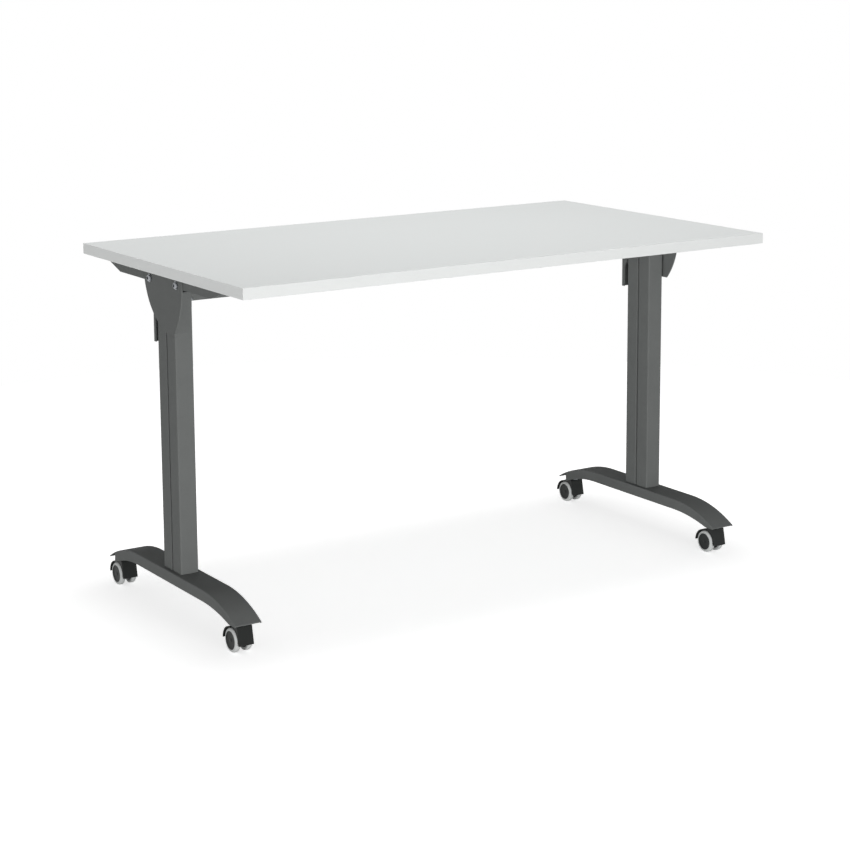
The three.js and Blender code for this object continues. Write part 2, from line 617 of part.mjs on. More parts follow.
// Folded lever: a channel whose sides widen round the pin and end in hooks over the lock stud
function releaseLever() {
  const gripFront = LEVER_REAR - LEVER_GRIP_DEPTH;
  const eyeFront = LEVER_PIN.y - LEVER_EYE.front;
  const hookUnder = STUD_Z + STUD_RADIUS + HOOK.play;
  const hookThroat = STUD_Y + STUD_RADIUS + HOOK.throatPlay;
  const hookTip = STUD_Y - HOOK.overlap;
  const hookTop = hookUnder + HOOK.depth;
  const webTop = LEVER_PIN.z + LEVER_WEB_ABOVE_PIN;
  const side = polygon([
    [gripFront, LEVER_BOTTOM],
    [LEVER_REAR, LEVER_BOTTOM],
    [LEVER_REAR, webTop],
    [LEVER_REAR - HOOK.leadLength, hookTop],
    [hookTip, hookTop],
    [hookTip, hookUnder + HOOK.lead],
    [hookTip + HOOK.leadLength, hookUnder],
    [hookThroat, hookUnder],
    [hookThroat, STUD_Z - STUD_RADIUS],
    [eyeFront, LEVER_PIN.z + LEVER_EYE.above],
    [eyeFront, LEVER_PIN.z - LEVER_EYE.below],
    [gripFront, LEVER_PIN.z - LEVER_EYE.taper],
  ]);
  const shapes = [box([-LEVER_HALF_WIDTH, LEVER_HALF_WIDTH], [LEVER_REAR - LEVER_SHEET, LEVER_REAR],
    [LEVER_BOTTOM, webTop])];
  for (const start of [-LEVER_HALF_WIDTH, LEVER_HALF_WIDTH - LEVER_SHEET]) {
    shapes.push(alongX(side, start, start + LEVER_SHEET));
  }
  return carve(shapes, [pinHole()]);
}

// Compression spring between the column and the lever's web: one unbroken wire
const springStart = COLUMN_DEPTH / 2 + GAP + SPRING.wireRadius;
const springEnd = LEVER_REAR - LEVER_SHEET - GAP - SPRING.wireRadius;

function springCentre(step) {
  const share = step / (SPRING.turns * SPRING.stepsPerTurn);
  const angle = share * SPRING.turns * 2 * Math.PI;
  const y = springStart + share * (springEnd - springStart);
  const x = SPRING.coilRadius * Math.cos(angle);
  const z = SPRING.z + SPRING.coilRadius * Math.sin(angle);
  return new THREE.Vector3(x, y, z);
}

function leverSpring() {
  const steps = SPRING.turns * SPRING.stepsPerTurn;
  const { sides } = SPRING;
  const vertices = [];
  const triangles = [];
  for (let step = 0; step <= steps; step += 1) {
    const centre = springCentre(step);
    const outwards = new THREE.Vector3(centre.x, 0, centre.z - SPRING.z).normalize();
    const across = new THREE.Vector3(0, 1, 0);
    for (let side = 0; side < sides; side += 1) {
      const angle = (side / sides) * 2 * Math.PI;
      const point = centre.clone()
        .addScaledVector(outwards, SPRING.wireRadius * Math.cos(angle))
        .addScaledVector(across, SPRING.wireRadius * Math.sin(angle));
      vertices.push(point.x, point.y, point.z);
    }
  }
  for (let step = 0; step < steps; step += 1) {
    for (let side = 0; side < sides; side += 1) {
      const next = (side + 1) % sides;
      const [a, b] = [step * sides + side, step * sides + next];
      triangles.push(a, b, b + sides, a, b + sides, a + sides);
    }
  }
  const last = steps * sides;
  for (let side = 1; side < sides - 1; side += 1) {
    triangles.push(0, side + 1, side, last, last + side, last + side + 1);
  }
  const geometry = new THREE.BufferGeometry();
  geometry.setAttribute("position", new THREE.Float32BufferAttribute(vertices, 3));
  geometry.setIndex(triangles);
  return geometry;
}

function springLeastGap() {
  const steps = SPRING.turns * SPRING.stepsPerTurn;
  const halfTurn = SPRING.stepsPerTurn / 2;
  let least = Infinity;
  for (let i = 0; i <= steps; i += 1) {
    for (let j = i + halfTurn; j <= steps; j += 1) {
      least = Math.min(least, springCentre(i).distanceTo(springCentre(j)));
    }
  }
  return least - 2 * SPRING.wireRadius;
}

// Caster hood: a crown round the stem with a flat skirt in front, a fender over both wheels behind it, and a
// web between the wheels. Drawn with the stem on the Z axis and the axle behind it.
function casterHood() {
  const axleZ = WHEEL_RADIUS;
  const fender = new THREE.Shape();
  fender.absarc(CASTER_TRAIL, axleZ, HOOD_OUTER, 0, Math.PI / 2);
  fender.lineTo(HOOD_CROWN.half, HOOD_CROWN.top);
  fender.lineTo(-HOOD_CROWN.half, HOOD_CROWN.top);
  fender.lineTo(HOOD_TOE.y, HOOD_TOE.z);
  fender.lineTo(HOOD_TOE.y + HOOD_TOE.thickness, HOOD_TOE.z);
  fender.absarc(CASTER_TRAIL, axleZ, HOOD_INNER, Math.PI, 0, true);
  const webEdge = (HOOD_INNER + HOOD_OUTER) / 2;
  const web = new THREE.Shape();
  web.absarc(CASTER_TRAIL, axleZ, webEdge, HOOD_WEB_REAR, HOOD_WEB_FRONT);
  web.absarc(CASTER_TRAIL, axleZ, HOOD_AXLE_BOSS, Math.PI, 2 * Math.PI);
  const stemBoreHeight = [STEM.pinBottom - OVERCUT, HOOD_CROWN.top + OVERCUT];
  const stemBore = rodZ(STEM.pin + STEM.pinPlay, ...stemBoreHeight, 0, SMALL_ROUND);
  const axleBoreReach = [-HOOD_HALF_WIDTH, HOOD_HALF_WIDTH];
  const axleBore = rodX(AXLE_RADIUS + GAP, ...axleBoreReach, CASTER_TRAIL, axleZ, SMALL_ROUND);
  const shell = alongX(fender, -HOOD_HALF_WIDTH, HOOD_HALF_WIDTH, HOOD_ARC_STEPS, HOOD_EDGE);
  const rib = alongX(web, -HOOD_WEB_HALF, HOOD_WEB_HALF, WEB_ARC_STEPS);
  return carve([shell, rib], [stemBore, axleBore]);
}

// Stem: a plain pin in the hood, a collar under the foot, and a threaded end in the foot's socket
function casterStem() {
  const collarBottom = HOOD_CROWN.top + GAP;
  const collarTop = SOCKET.bottom - GAP;
  const profile = [
    [0, STEM.pinBottom],
    [STEM.pin, STEM.pinBottom],
    [STEM.pin, collarBottom],
    [STEM.flange, collarBottom],
    [STEM.flange, collarTop],
    [STEM.thread, collarTop],
    [STEM.thread, STEM.top],
    [0, STEM.top],
  ];
  return turned(profile, SMALL_ROUND, "z");
}

// Tyre with round shoulders, sized so that a flat of it meets the floor
function wheelTyre() {
  const tread = WHEEL_RADIUS / Math.cos(Math.PI / WHEEL_SEGMENTS);
  const innerFace = WHEEL_INNER_FACE + TYRE.setBack;
  const profile = [
    [TYRE_BORE, innerFace],
    [tread - TYRE.innerShoulder, innerFace],
    [tread, innerFace + TYRE.innerShoulder],
    [tread, WHEEL_OUTER_FACE - TYRE.outerRun],
    [tread - TYRE.outerShoulder, WHEEL_OUTER_FACE - TYRE.outerSetBack],
    [TYRE_BORE, WHEEL_OUTER_FACE],
    [TYRE_BORE, innerFace],
  ];
  return turned(profile, WHEEL_SEGMENTS, "x");
}

// Hub: a dished disc with a raised rim outside, and a blind bore for the axle inside
function wheelHub() {
  const bore = AXLE_RADIUS + GAP;
  const dish = WHEEL_OUTER_FACE - HUB_RIM.dish;
  const profile = [
    [0, AXLE_HALF + GAP],
    [bore, AXLE_HALF + GAP],
    [bore, WHEEL_INNER_FACE],
    [HUB_RADIUS, WHEEL_INNER_FACE],
    [HUB_RADIUS, WHEEL_OUTER_FACE - HUB_RIM.chamfer],
    [HUB_RADIUS - HUB_RIM.top, WHEEL_OUTER_FACE],
    [HUB_RADIUS - HUB_RIM.foot, dish],
    [0, dish],
  ];
  return turned(profile, WHEEL_SEGMENTS, "x");
}

function addCaster(table, place, x, y) {
  const caster = new THREE.Group();
  caster.position.set(x, y, 0);
  table.add(caster);
  addPiece(caster, `caster_stem_${place}`, casterStem(), brightSteel);
  addPiece(caster, `caster_hood_${place}`, casterHood(), blackPlastic);
  const axle = rodX(AXLE_RADIUS, -AXLE_HALF, AXLE_HALF, CASTER_TRAIL, WHEEL_RADIUS, SMALL_ROUND);
  addPiece(caster, `caster_axle_${place}`, axle, brightSteel);
  for (const [wheel, turn] of [["outer", x < 0 ? Math.PI : 0], ["inner", x < 0 ? 0 : Math.PI]]) {
    const pair = new THREE.Group();
    pair.position.set(0, CASTER_TRAIL, WHEEL_RADIUS);
    pair.rotation.z = turn;
    caster.add(pair);
    addPiece(pair, `wheel_hub_${place}_${wheel}`, wheelHub(), blackPlastic);
    addPiece(pair, `wheel_tyre_${place}_${wheel}`, wheelTyre(), tyreRubber);
  }
}

// One leg with its share of the flip and latch parts; the left leg mirrors the right one
function addLeg(table, side) {
  const hand = side < 0 ? "left" : "right";
  const leg = new THREE.Group();
  leg.position.x = side * LEG_X;
  table.add(leg);
  const pieces = [
    ["foot", foot(), steelPaint],
    ["column", column(), steelPaint],
    ["column_cap", columnCap(), bushPlastic],
    ["pivot_bush", pivotBush(), bushPlastic],
    ["rail", rail(), steelPaint],
    ["pivot_plate", pivotPlate(), steelPaint],
    ["stop_buffer", stopBuffer(), bufferRubber],
    ["lever_bracket", leverBracket(), steelPaint],
    ["lever_pin", leverPin(), brightSteel],
    ["release_lever", releaseLever(), steelPaint],
    ["lever_spring", leverSpring(), springSteel],
  ];
  for (const [name, geometry, material] of pieces) {
    addPiece(leg, `${name}_${hand}`, geometry.scale(side, 1, 1), material);
  }
  for (const [end, y] of Object.entries(PLATE_BOLTS)) {
    const bolt = plateBolt().translate(0, y, PLATE_BOLT_Z).scale(side, 1, 1);
    addPiece(leg, `plate_bolt_${hand}_${end}`, bolt, brightSteel);
  }
  addCaster(table, `front_${hand}`, side * LEG_X, -STEM_Y);
  addCaster(table, `rear_${hand}`, side * LEG_X, STEM_Y);
}

const table = new THREE.Group();
table.name = "flip_top_table";
addTop(table);
addPiece(table, "cross_beam", crossBeam(), steelPaint);
addLeg(table, -1);
addLeg(table, 1);
console.log(`least gap between the spring's turns: ${springLeastGap().toFixed(2)} mm`);

export default table;
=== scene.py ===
import json
import math

import bmesh
import bpy
from mathutils import Matrix, Vector

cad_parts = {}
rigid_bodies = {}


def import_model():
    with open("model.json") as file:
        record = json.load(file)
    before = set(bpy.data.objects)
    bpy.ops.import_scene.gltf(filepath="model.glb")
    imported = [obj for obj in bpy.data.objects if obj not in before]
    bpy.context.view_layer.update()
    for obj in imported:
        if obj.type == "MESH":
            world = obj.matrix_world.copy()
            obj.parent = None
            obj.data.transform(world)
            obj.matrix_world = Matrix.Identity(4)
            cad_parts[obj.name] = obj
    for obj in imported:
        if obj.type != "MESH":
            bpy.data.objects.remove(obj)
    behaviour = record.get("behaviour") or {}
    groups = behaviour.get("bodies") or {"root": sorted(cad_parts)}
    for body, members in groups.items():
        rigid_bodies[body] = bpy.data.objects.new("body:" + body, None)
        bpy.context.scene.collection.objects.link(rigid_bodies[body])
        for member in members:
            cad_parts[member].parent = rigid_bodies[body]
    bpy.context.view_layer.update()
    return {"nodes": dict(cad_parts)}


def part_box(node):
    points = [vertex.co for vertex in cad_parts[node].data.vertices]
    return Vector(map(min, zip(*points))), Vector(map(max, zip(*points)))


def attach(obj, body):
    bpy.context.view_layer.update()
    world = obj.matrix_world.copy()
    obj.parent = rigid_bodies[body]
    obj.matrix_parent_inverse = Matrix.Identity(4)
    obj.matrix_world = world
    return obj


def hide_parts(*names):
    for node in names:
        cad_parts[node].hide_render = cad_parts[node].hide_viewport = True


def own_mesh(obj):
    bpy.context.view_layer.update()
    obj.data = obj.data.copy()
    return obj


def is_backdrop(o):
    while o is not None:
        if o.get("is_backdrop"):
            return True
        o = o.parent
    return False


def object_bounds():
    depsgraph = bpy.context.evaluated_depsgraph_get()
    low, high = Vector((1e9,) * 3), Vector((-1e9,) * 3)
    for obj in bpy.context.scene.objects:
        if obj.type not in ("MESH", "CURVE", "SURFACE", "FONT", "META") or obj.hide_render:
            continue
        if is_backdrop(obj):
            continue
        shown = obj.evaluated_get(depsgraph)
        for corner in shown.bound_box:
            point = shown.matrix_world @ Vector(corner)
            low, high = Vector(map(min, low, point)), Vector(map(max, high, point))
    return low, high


for stray in list(bpy.data.objects):
    bpy.data.objects.remove(stray)
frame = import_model()

# Feet
# Each foot is a channel pressed from sheet steel and powder coated dark grey. Its roof arches down to a thin
# tip that reaches past the side walls, and a socket for the caster stem is welded under each end.
HANDS = {"left": -1, "right": 1}
FOOT_SHEET = 0.0028
FOOT_BEND = 0.0022
FOOT_BEND_STEPS = 5
FOOT_BEND_STRIP = 0.0006
FOOT_FLAT_HALF = 0.150
FOOT_WALL_FRONT = 0.2905
FOOT_WALL_REAR = 0.265
FOOT_WALL_HEIGHT = 0.024
FOOT_ARCH = 0.283
FOOT_FRONT_HEM_ARCH = 0.394
FOOT_REAR_HEM_ARCH = 0.293
FOOT_ARCH_STEPS = 18
FOOT_TIP_STEPS = 3
FOOT_EDGE = 0.0005
SOCKET_RADIUS = 0.010
SOCKET_BOTTOM = 0.061
COAT_DARK = (99, 101, 100)
COAT_LIGHT = (109, 111, 110)
COAT_ROUGHNESS = 0.66


def srgb(red, green, blue):
    """A colour in 0 to 255 levels, as the linear values that a shader takes."""
    levels = [level / 255 for level in (red, green, blue)]
    linear = [x / 12.92 if x <= 0.04045 else ((x + 0.055) / 1.055) ** 2.4 for x in levels]
    return (*linear, 1.0)


class Field:
    """A socket of a node tree: arithmetic on it adds Math nodes, and node() adds any other node."""

    def __init__(self, tree, socket=None):
        self.tree = tree
        self.socket = socket

    def node(self, kind, settings=None, sockets=None, output=0):
        made = self.tree.nodes.new(kind)
        for name, value in (settings or {}).items():
            setattr(made, name, value)
        for name, value in (sockets or {}).items():
            for part in value if isinstance(value, list) else [value]:
                if isinstance(part, Field):
                    self.tree.links.new(part.socket, made.inputs[name])
                else:
                    made.inputs[name].default_value = part
        return Field(self.tree, made.outputs[output])

    def math(self, operation, first, second=0.0):
        return self.node("ShaderNodeMath", {"operation": operation}, {0: first, 1: second})

    def __add__(self, other):
        return self.math("ADD", self, other)

    def __radd__(self, other):
        return self.math("ADD", other, self)

    def __sub__(self, other):
        return self.math("SUBTRACT", self, other)

    def __rsub__(self, other):
        return self.math("SUBTRACT", other, self)

    def __mul__(self, other):
        return self.math("MULTIPLY", self, other)

    def __rmul__(self, other):
        return self.math("MULTIPLY", other, self)

    def __truediv__(self, other):
        return self.math("DIVIDE", self, other)

    def __rtruediv__(self, other):
        return self.math("DIVIDE", other, self)

    def into(self, node, socket):
        self.tree.links.new(self.socket, node.inputs[socket])


def new_finish(name, constants=None):
    """A material with its shader's plain values set, and the piece's own coordinates to build on."""
    material = bpy.data.materials.new(name)
    material.use_nodes = True
    shader = material.node_tree.nodes["Principled BSDF"]
    for socket, value in (constants or {}).items():
        shader.inputs[socket].default_value = value
    place = Field(material.node_tree).node("ShaderNodeTexCoord", output="Object")
    return material, shader, place


def noise(place, size, detail=2.0):
    """Noise around 0.5 whose blotches are about that many metres across."""
    return place.node("ShaderNodeTexNoise", {}, {"Vector": place, "Scale": 1 / size, "Detail": detail})


def blended(first, second, share):
    """Two patterns in one, with that share of the second."""
    return first * (1 - share) + second * share


def varied(level, pattern, spread):
    """A level that a pattern moves up and down, by that much between its extremes."""
    return level + (pattern - 0.5) * spread


def mixed_colour(factor, first, second):
    """A mix of two colours, by the Mix node's two colour sockets and its colour result."""
    sockets = {0: factor, 6: srgb(*first), 7: srgb(*second)}
    return factor.node("ShaderNodeMix", {"data_type": "RGBA"}, sockets, output=2)


def bumped(height, depth):
    """The normal of a surface that a pattern raises by up to that depth in metres."""
    return height.node("ShaderNodeBump", {}, {"Strength": 1.0, "Distance": depth, "Height": height})


def powder_coat():
    """Baked powder coat: satin, with orange peel about a millimetre across and a faint cloudiness."""
    material, shader, place = new_finish("grey_powder_coat", {"Specular IOR Level": 0.03})
    peel = noise(place, size=0.0011)
    cloud = noise(place, size=0.045, detail=3.0)
    fleck = noise(place, size=0.0004, detail=0.0)
    mixed_colour(blended(cloud, fleck, share=0.4), COAT_DARK, COAT_LIGHT).into(shader, "Base Color")
    varied(COAT_ROUGHNESS, cloud, spread=0.10).into(shader, "Roughness")
    bumped(peel, depth=0.00004).into(shader, "Normal")
    return material


def linked(name, data):
    """A new object of some data, in the scene."""
    obj = bpy.data.objects.new(name, data)
    bpy.context.scene.collection.objects.link(obj)
    return obj


def plain_mesh(name, shape):
    """A shape as mesh data; the shape is used up."""
    mesh = bpy.data.meshes.new(name)
    shape.to_mesh(mesh)
    shape.free()
    return mesh


def evaluated_mesh(obj):
    """The mesh that the object's modifiers give, as plain data of its own."""
    depsgraph = bpy.context.evaluated_depsgraph_get()
    return bpy.data.meshes.new_from_object(obj.evaluated_get(depsgraph), depsgraph=depsgraph)


def settle(obj):
    """Makes what the modifiers give the object's own mesh."""
    mesh = evaluated_mesh(obj)
    obj.modifiers.clear()
    obj.data = mesh
    return mesh


def used_up(obj):
    """The mesh that the object's modifiers give; the object goes."""
    mesh = evaluated_mesh(obj)
    bpy.data.objects.remove(obj)
    return mesh


def piece(name, shape, finish, body, replaced=(), edge=0.0, crease=40):
    """Makes a finished piece of a shape, with its sharp edges rounded and its flats shaded flat."""
    if isinstance(shape, bmesh.types.BMesh):
        bmesh.ops.remove_doubles(shape, verts=shape.verts, dist=1e-6)
        bmesh.ops.recalc_face_normals(shape, faces=shape.faces)
        mesh = plain_mesh(name, shape)
    else:
        mesh = shape
    obj = linked(name, mesh)
    if edge:
        bevel = obj.modifiers.new("edges", "BEVEL")
        bevel.width = edge
        bevel.segments = 2
        bevel.limit_method = "ANGLE"
        bevel.angle_limit = math.radians(crease)
        bevel.use_clamp_overlap = False
        mesh = settle(obj)
    mesh.shade_smooth()
    mesh.set_sharp_from_angle(angle=math.radians(crease))
    weighted = obj.modifiers.new("flats", "WEIGHTED_NORMAL")
    weighted.keep_sharp = True
    mesh = settle(obj)
    mesh.name = name
    mesh.materials.clear()
    mesh.materials.append(finish)
    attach(obj, body)
    if replaced:
        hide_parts(*replaced)
    return obj


def middle(node):
    """The middle of a node's box."""
    low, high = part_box(node)
    return (low + high) / 2


def bridge(shape, rings):
    """Joins closed rings of vertices with faces; a ring of one vertex is a pole."""
    for first, second in zip(rings, rings[1:]):
        for i in range(max(len(first), len(second))):
            corners = [first[i % len(first)], first[(i + 1) % len(first)]]
            corners += [second[(i + 1) % len(second)], second[i % len(second)]]
            shape.faces.new(list(dict.fromkeys(corners)))


def turned(shape, profile, place, axis, segments=48):
    """Adds a turned solid at a place: its profile is a list of (radius, distance along the axis)."""
    rings = []
    for radius, along in profile:
        ring = []
        for i in range(segments if radius else 1):
            angle = 2 * math.pi * i / segments
            across, up = radius * math.cos(angle), radius * math.sin(angle)
            local = (along, across, up) if axis == "X" else (across, up, along)
            ring.append(shape.verts.new(Vector(place) + Vector(local)))
        rings.append(ring)
    bridge(shape, rings)


def foot_drop(reach, limit, arch):
    """How far a level line has arched down at a distance from the foot's middle."""
    run = max(min(reach, limit) - FOOT_FLAT_HALF, 0)
    return arch - math.sqrt(arch ** 2 - run ** 2)


def foot_reaches(tip):
    """Distances from the foot's middle at which its section is drawn, with the wall ends among them."""
    reaches = [FOOT_FLAT_HALF]
    stretches = ((FOOT_WALL_REAR, FOOT_ARCH_STEPS), (FOOT_WALL_FRONT, FOOT_TIP_STEPS), (tip, FOOT_TIP_STEPS))
    for end, steps in stretches:
        start = reaches[-1]
        reaches += [start + (end - start) * (i + 1) / steps for i in range(steps)]
    return reaches


def foot_section(half, hem):
    """Half of the channel's section: (distance from the middle, drop) from the hem up to the roof."""
    points = [(half, hem), (half, FOOT_BEND + FOOT_BEND_STRIP)]
    for i in range(FOOT_BEND_STEPS + 1):
        angle = math.pi / 2 * i / FOOT_BEND_STEPS
        points.append((half - FOOT_BEND * (1 - math.cos(angle)), FOOT_BEND * (1 - math.sin(angle))))
    return points + [(half - FOOT_BEND - FOOT_BEND_STRIP, 0.0)]


def foot_sheet(low, high):
    """The foot's outer side: a grid of sections from front to rear, without walls past their ends."""
    shape = bmesh.new()
    middle_x = (low.x + high.x) / 2
    reaches = foot_reaches(high.y)
    stations = [-reach for reach in reversed(reaches)] + reaches
    grid = []
    for y in stations:
        roof = foot_drop(abs(y), high.y, FOOT_ARCH)
        hem_arch = FOOT_FRONT_HEM_ARCH if y < 0 else FOOT_REAR_HEM_ARCH
        hem = FOOT_WALL_HEIGHT + foot_drop(abs(y), FOOT_WALL_REAR, hem_arch)
        section = foot_section((high.x - low.x) / 2, hem - roof)
        section += [(-x, fall) for x, fall in reversed(section)]
        grid.append([shape.verts.new((middle_x + x, y, high.z - roof - fall)) for x, fall in section])
    wall_faces = (0, len(grid[0]) - 2)
    for i in range(len(stations) - 1):
        along = (stations[i] + stations[i + 1]) / 2
        past_wall = not -FOOT_WALL_FRONT < along < FOOT_WALL_REAR
        for j in range(len(grid[0]) - 1):
            if past_wall and j in wall_faces:
                continue
            shape.faces.new((grid[i][j], grid[i + 1][j], grid[i + 1][j + 1], grid[i][j + 1]))
    loose = [v for v in shape.verts if not v.link_faces]
    bmesh.ops.delete(shape, geom=loose, context="VERTS")
    bmesh.ops.recalc_face_normals(shape, faces=shape.faces)
    roof_face = max(shape.faces, key=lambda face: abs(face.normal.z))
    if roof_face.normal.z < 0:
        bmesh.ops.reverse_faces(shape, faces=shape.faces)
    return shape


def thickened(shape, thickness):
    """The mesh of a sheet of that thickness, whose outer side is the shape."""
    sheet = linked("sheet", plain_mesh("sheet", shape))
    solid = sheet.modifiers.new("thickness", "SOLIDIFY")
    solid.thickness = thickness
    solid.offset = -1
    solid.use_even_offset = True
    return used_up(sheet)


steel_coat = powder_coat()
for hand in HANDS:
    node = f"foot_{hand}"
    foot_shape = bmesh.new()
    foot_shape.from_mesh(thickened(foot_sheet(*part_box(node)), FOOT_SHEET))
    for end in ("front", "rear"):
        stem_low, stem_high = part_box(f"caster_stem_{end}_{hand}")
        stem = (stem_low + stem_high) / 2
        socket_line = [(0, SOCKET_BOTTOM), (SOCKET_RADIUS, SOCKET_BOTTOM)]
        socket_line += [(SOCKET_RADIUS, stem_high.z), (0, stem_high.z)]
        turned(foot_shape, socket_line, (stem.x, stem.y, 0), "Z")
    piece(f"{node}_channel", foot_shape, steel_coat, "frame", [node], FOOT_EDGE, crease=50)

# Columns
# Each column is an extruded tube with a groove down its outer and inner face, powder coated like the foot
# that it is welded to. A black plastic cap is pressed into its open top.
COLUMN_EDGE = 0.0003
CAP_EDGE = 0.0008
BUSH_DARK = (26, 27, 27)
BUSH_LIGHT = (33, 34, 34)
BLACK_ROUGHNESS = 0.5


def softened(node):
    """A copy of a node's shape, merged and with the lines inside its flat faces taken out."""
    shape = bmesh.new()
    shape.from_mesh(frame["nodes"][node].data)
    bmesh.ops.remove_doubles(shape, verts=shape.verts, dist=2e-6)
    flat = math.radians(0.5)
    bmesh.ops.dissolve_limit(shape, angle_limit=flat, verts=shape.verts, edges=shape.edges)
    return shape


def moulded_black(name, dark, light):
    """Moulded plastic from a spark-eroded tool: fine even stipple, and gloss that varies a little."""
    material, shader, place = new_finish(name, {"Specular IOR Level": 0.2})
    stipple = noise(place, size=0.0006, detail=1.0)
    cloud = noise(place, size=0.012)
    mixed_colour(blended(cloud, stipple, share=0.3), dark, light).into(shader, "Base Color")
    varied(BLACK_ROUGHNESS, stipple, spread=0.16).into(shader, "Roughness")
    bumped(stipple, depth=0.00003).into(shader, "Normal")
    return material


bush_plastic = moulded_black("bush_plastic", BUSH_DARK, BUSH_LIGHT)
for hand in HANDS:
    node = f"column_{hand}"
    piece(f"{node}_tube", softened(node), steel_coat, "frame", [node], COLUMN_EDGE, crease=25)
    node = f"column_cap_{hand}"
    piece(f"{node}_lid", softened(node), bush_plastic, "frame", [node], CAP_EDGE, crease=50)

# Cross beam
# A rectangular steel tube joins the legs under the top. A flange welded on each end is bolted to the column's
# inner face with two zinc-plated button-head bolts.
BEAM_EDGE = 0.0004
FLANGE_THICKNESS = 0.004
BEAM_BOLT_INSET = 0.0050
BEAM_BOLT = {
    "Head Radius": 0.0042,
    "Head Height": 0.0028,
    "Washer Radius": 0.0048,
    "Washer Thickness": 0.0008,
    "Socket Radius": 0.0020,
    "Socket Depth": 0.0016,
}
HEAD_SIDES = 32
HEAD_STEPS = 7
HEAD_CROWN = 0.8
BOLT_SEED = 3
ZINC_DARK = (126, 129, 133)
ZINC_LIGHT = (166, 168, 171)
ZINC_ROUGHNESS = 0.30


def zinc_plate():
    """Bright zinc plating: a metal with faint bluish clouds and fine rolling marks."""
    material, shader, place = new_finish("zinc_plate", {"Metallic": 1.0})
    cloud = noise(place, size=0.004, detail=3.0)
    rolling = noise(place, size=0.0005, detail=1.0)
    mixed_colour(cloud, ZINC_DARK, ZINC_LIGHT).into(shader, "Base Color")
    varied(ZINC_ROUGHNESS, rolling, spread=0.2).into(shader, "Roughness")
    bumped(rolling, depth=0.00001).into(shader, "Normal")
    return material


def new_tree(name, inputs, output):
    """A node tree with its named inputs, each also as a field to build on."""
    tree = bpy.data.node_groups.new(name, "GeometryNodeTree")
    for label, kind in inputs.items():
        tree.interface.new_socket(label, in_out="INPUT", socket_type=f"NodeSocket{kind}")
    tree.interface.new_socket(output, in_out="OUTPUT", socket_type="NodeSocketGeometry")
    group_input = tree.nodes.new("NodeGroupInput")
    given = {socket.name: Field(tree, socket) for socket in group_input.outputs if socket.name}
    return tree, given


def end_tree(geometry, finish):
    """Ends a tree with the geometry made real and its finish set."""
    real = geometry.node("GeometryNodeRealizeInstances", {}, {"Geometry": geometry})
    done = geometry.node("GeometryNodeSetMaterial", {}, {"Geometry": real, "Material": finish})
    done.into(geometry.tree.nodes.new("NodeGroupOutput"), 0)


def grown(name, tree, values, mesh):
    """The plain mesh that a node tree makes of a mesh, with its inputs set by their identifiers."""
    holder = linked(name, mesh)
    modifier = holder.modifiers.new(name, "NODES")
    modifier.node_group = tree
    for item in tree.interface.items_tree:
        if item.in_out == "INPUT" and item.name in values:
            modifier[item.identifier] = values[item.name]
    return used_up(holder)


def vector(x, y, z):
    """Three fields or numbers, the last a field, as one vector."""
    return z.node("ShaderNodeCombineXYZ", {}, {"X": x, "Y": y, "Z": z})


def hexagon_socket(given):
    """Cutter for a hexagon socket in a head's crown."""
    depth = given["Socket Depth"] * 2.0
    sizes = {"Vertices": 6, "Radius": given["Socket Radius"], "Depth": depth}
    return depth.node("GeometryNodeMeshCylinder", {}, sizes, "Mesh")


def domed_head(given, cutter):
    """A head above the washer's height, drawn in to a dome, with the cutter taken out of its crown."""
    radius, height, seat = given["Head Radius"], given["Head Height"], given["Washer Thickness"]
    blank = {"Vertices": HEAD_SIDES, "Side Segments": HEAD_STEPS, "Radius": radius, "Depth": height}
    head = radius.node("GeometryNodeMeshCylinder", {}, blank, "Mesh")
    spot = radius.node("GeometryNodeInputPosition")
    x, y, z = (radius.node("ShaderNodeSeparateXYZ", {}, {0: spot}, axis) for axis in "XYZ")
    rise = (z / height + 0.5) * HEAD_CROWN
    taper = radius.math("SQRT", 1.0 - rise * rise)
    domed = vector(x * taper, y * taper, z + height * 0.5 + seat)
    head = radius.node("GeometryNodeSetPosition", {}, {"Geometry": head, "Position": domed})
    crown = vector(0.0, 0.0, height + seat)
    cutter = radius.node("GeometryNodeTransform", {}, {"Geometry": cutter, "Translation": crown})
    sockets = {"Mesh 1": head, "Mesh 2": cutter}
    return radius.node("GeometryNodeMeshBoolean", {"operation": "DIFFERENCE"}, sockets)


def flat_washer(given):
    """A washer that lies on the plane of its place."""
    seat = given["Washer Thickness"]
    disc = {"Vertices": HEAD_SIDES, "Radius": given["Washer Radius"], "Depth": seat}
    washer = seat.node("GeometryNodeMeshCylinder", {}, disc, "Mesh")
    lift = vector(0.0, 0.0, seat * 0.5)
    return seat.node("GeometryNodeTransform", {}, {"Geometry": washer, "Translation": lift})


def tightened_turn(given):
    """Each place's rotation: its facing, with a turn of its own as if tightened by hand."""
    places = given["Places"]
    settings = {"data_type": "FLOAT_VECTOR"}
    facing = places.node("GeometryNodeInputNamedAttribute", settings, {"Name": "facing"}, "Attribute")
    aligned = places.node("FunctionNodeAlignRotationToVector", {"axis": "Z"}, {"Vector": facing})
    # The sockets that Random Value uses for a plain number.
    least, most, seed = 2, 3, 8
    sockets = {least: 0.0, most: math.pi / 3, seed: BOLT_SEED}
    turn = places.node("FunctionNodeRandomValue", {"data_type": "FLOAT"}, sockets, 1)
    spin = places.node("FunctionNodeEulerToRotation", {}, {"Euler": vector(0.0, 0.0, turn)})
    return places.node("FunctionNodeRotateRotation", {"rotation_space": "LOCAL"}, {0: aligned, 1: spin})


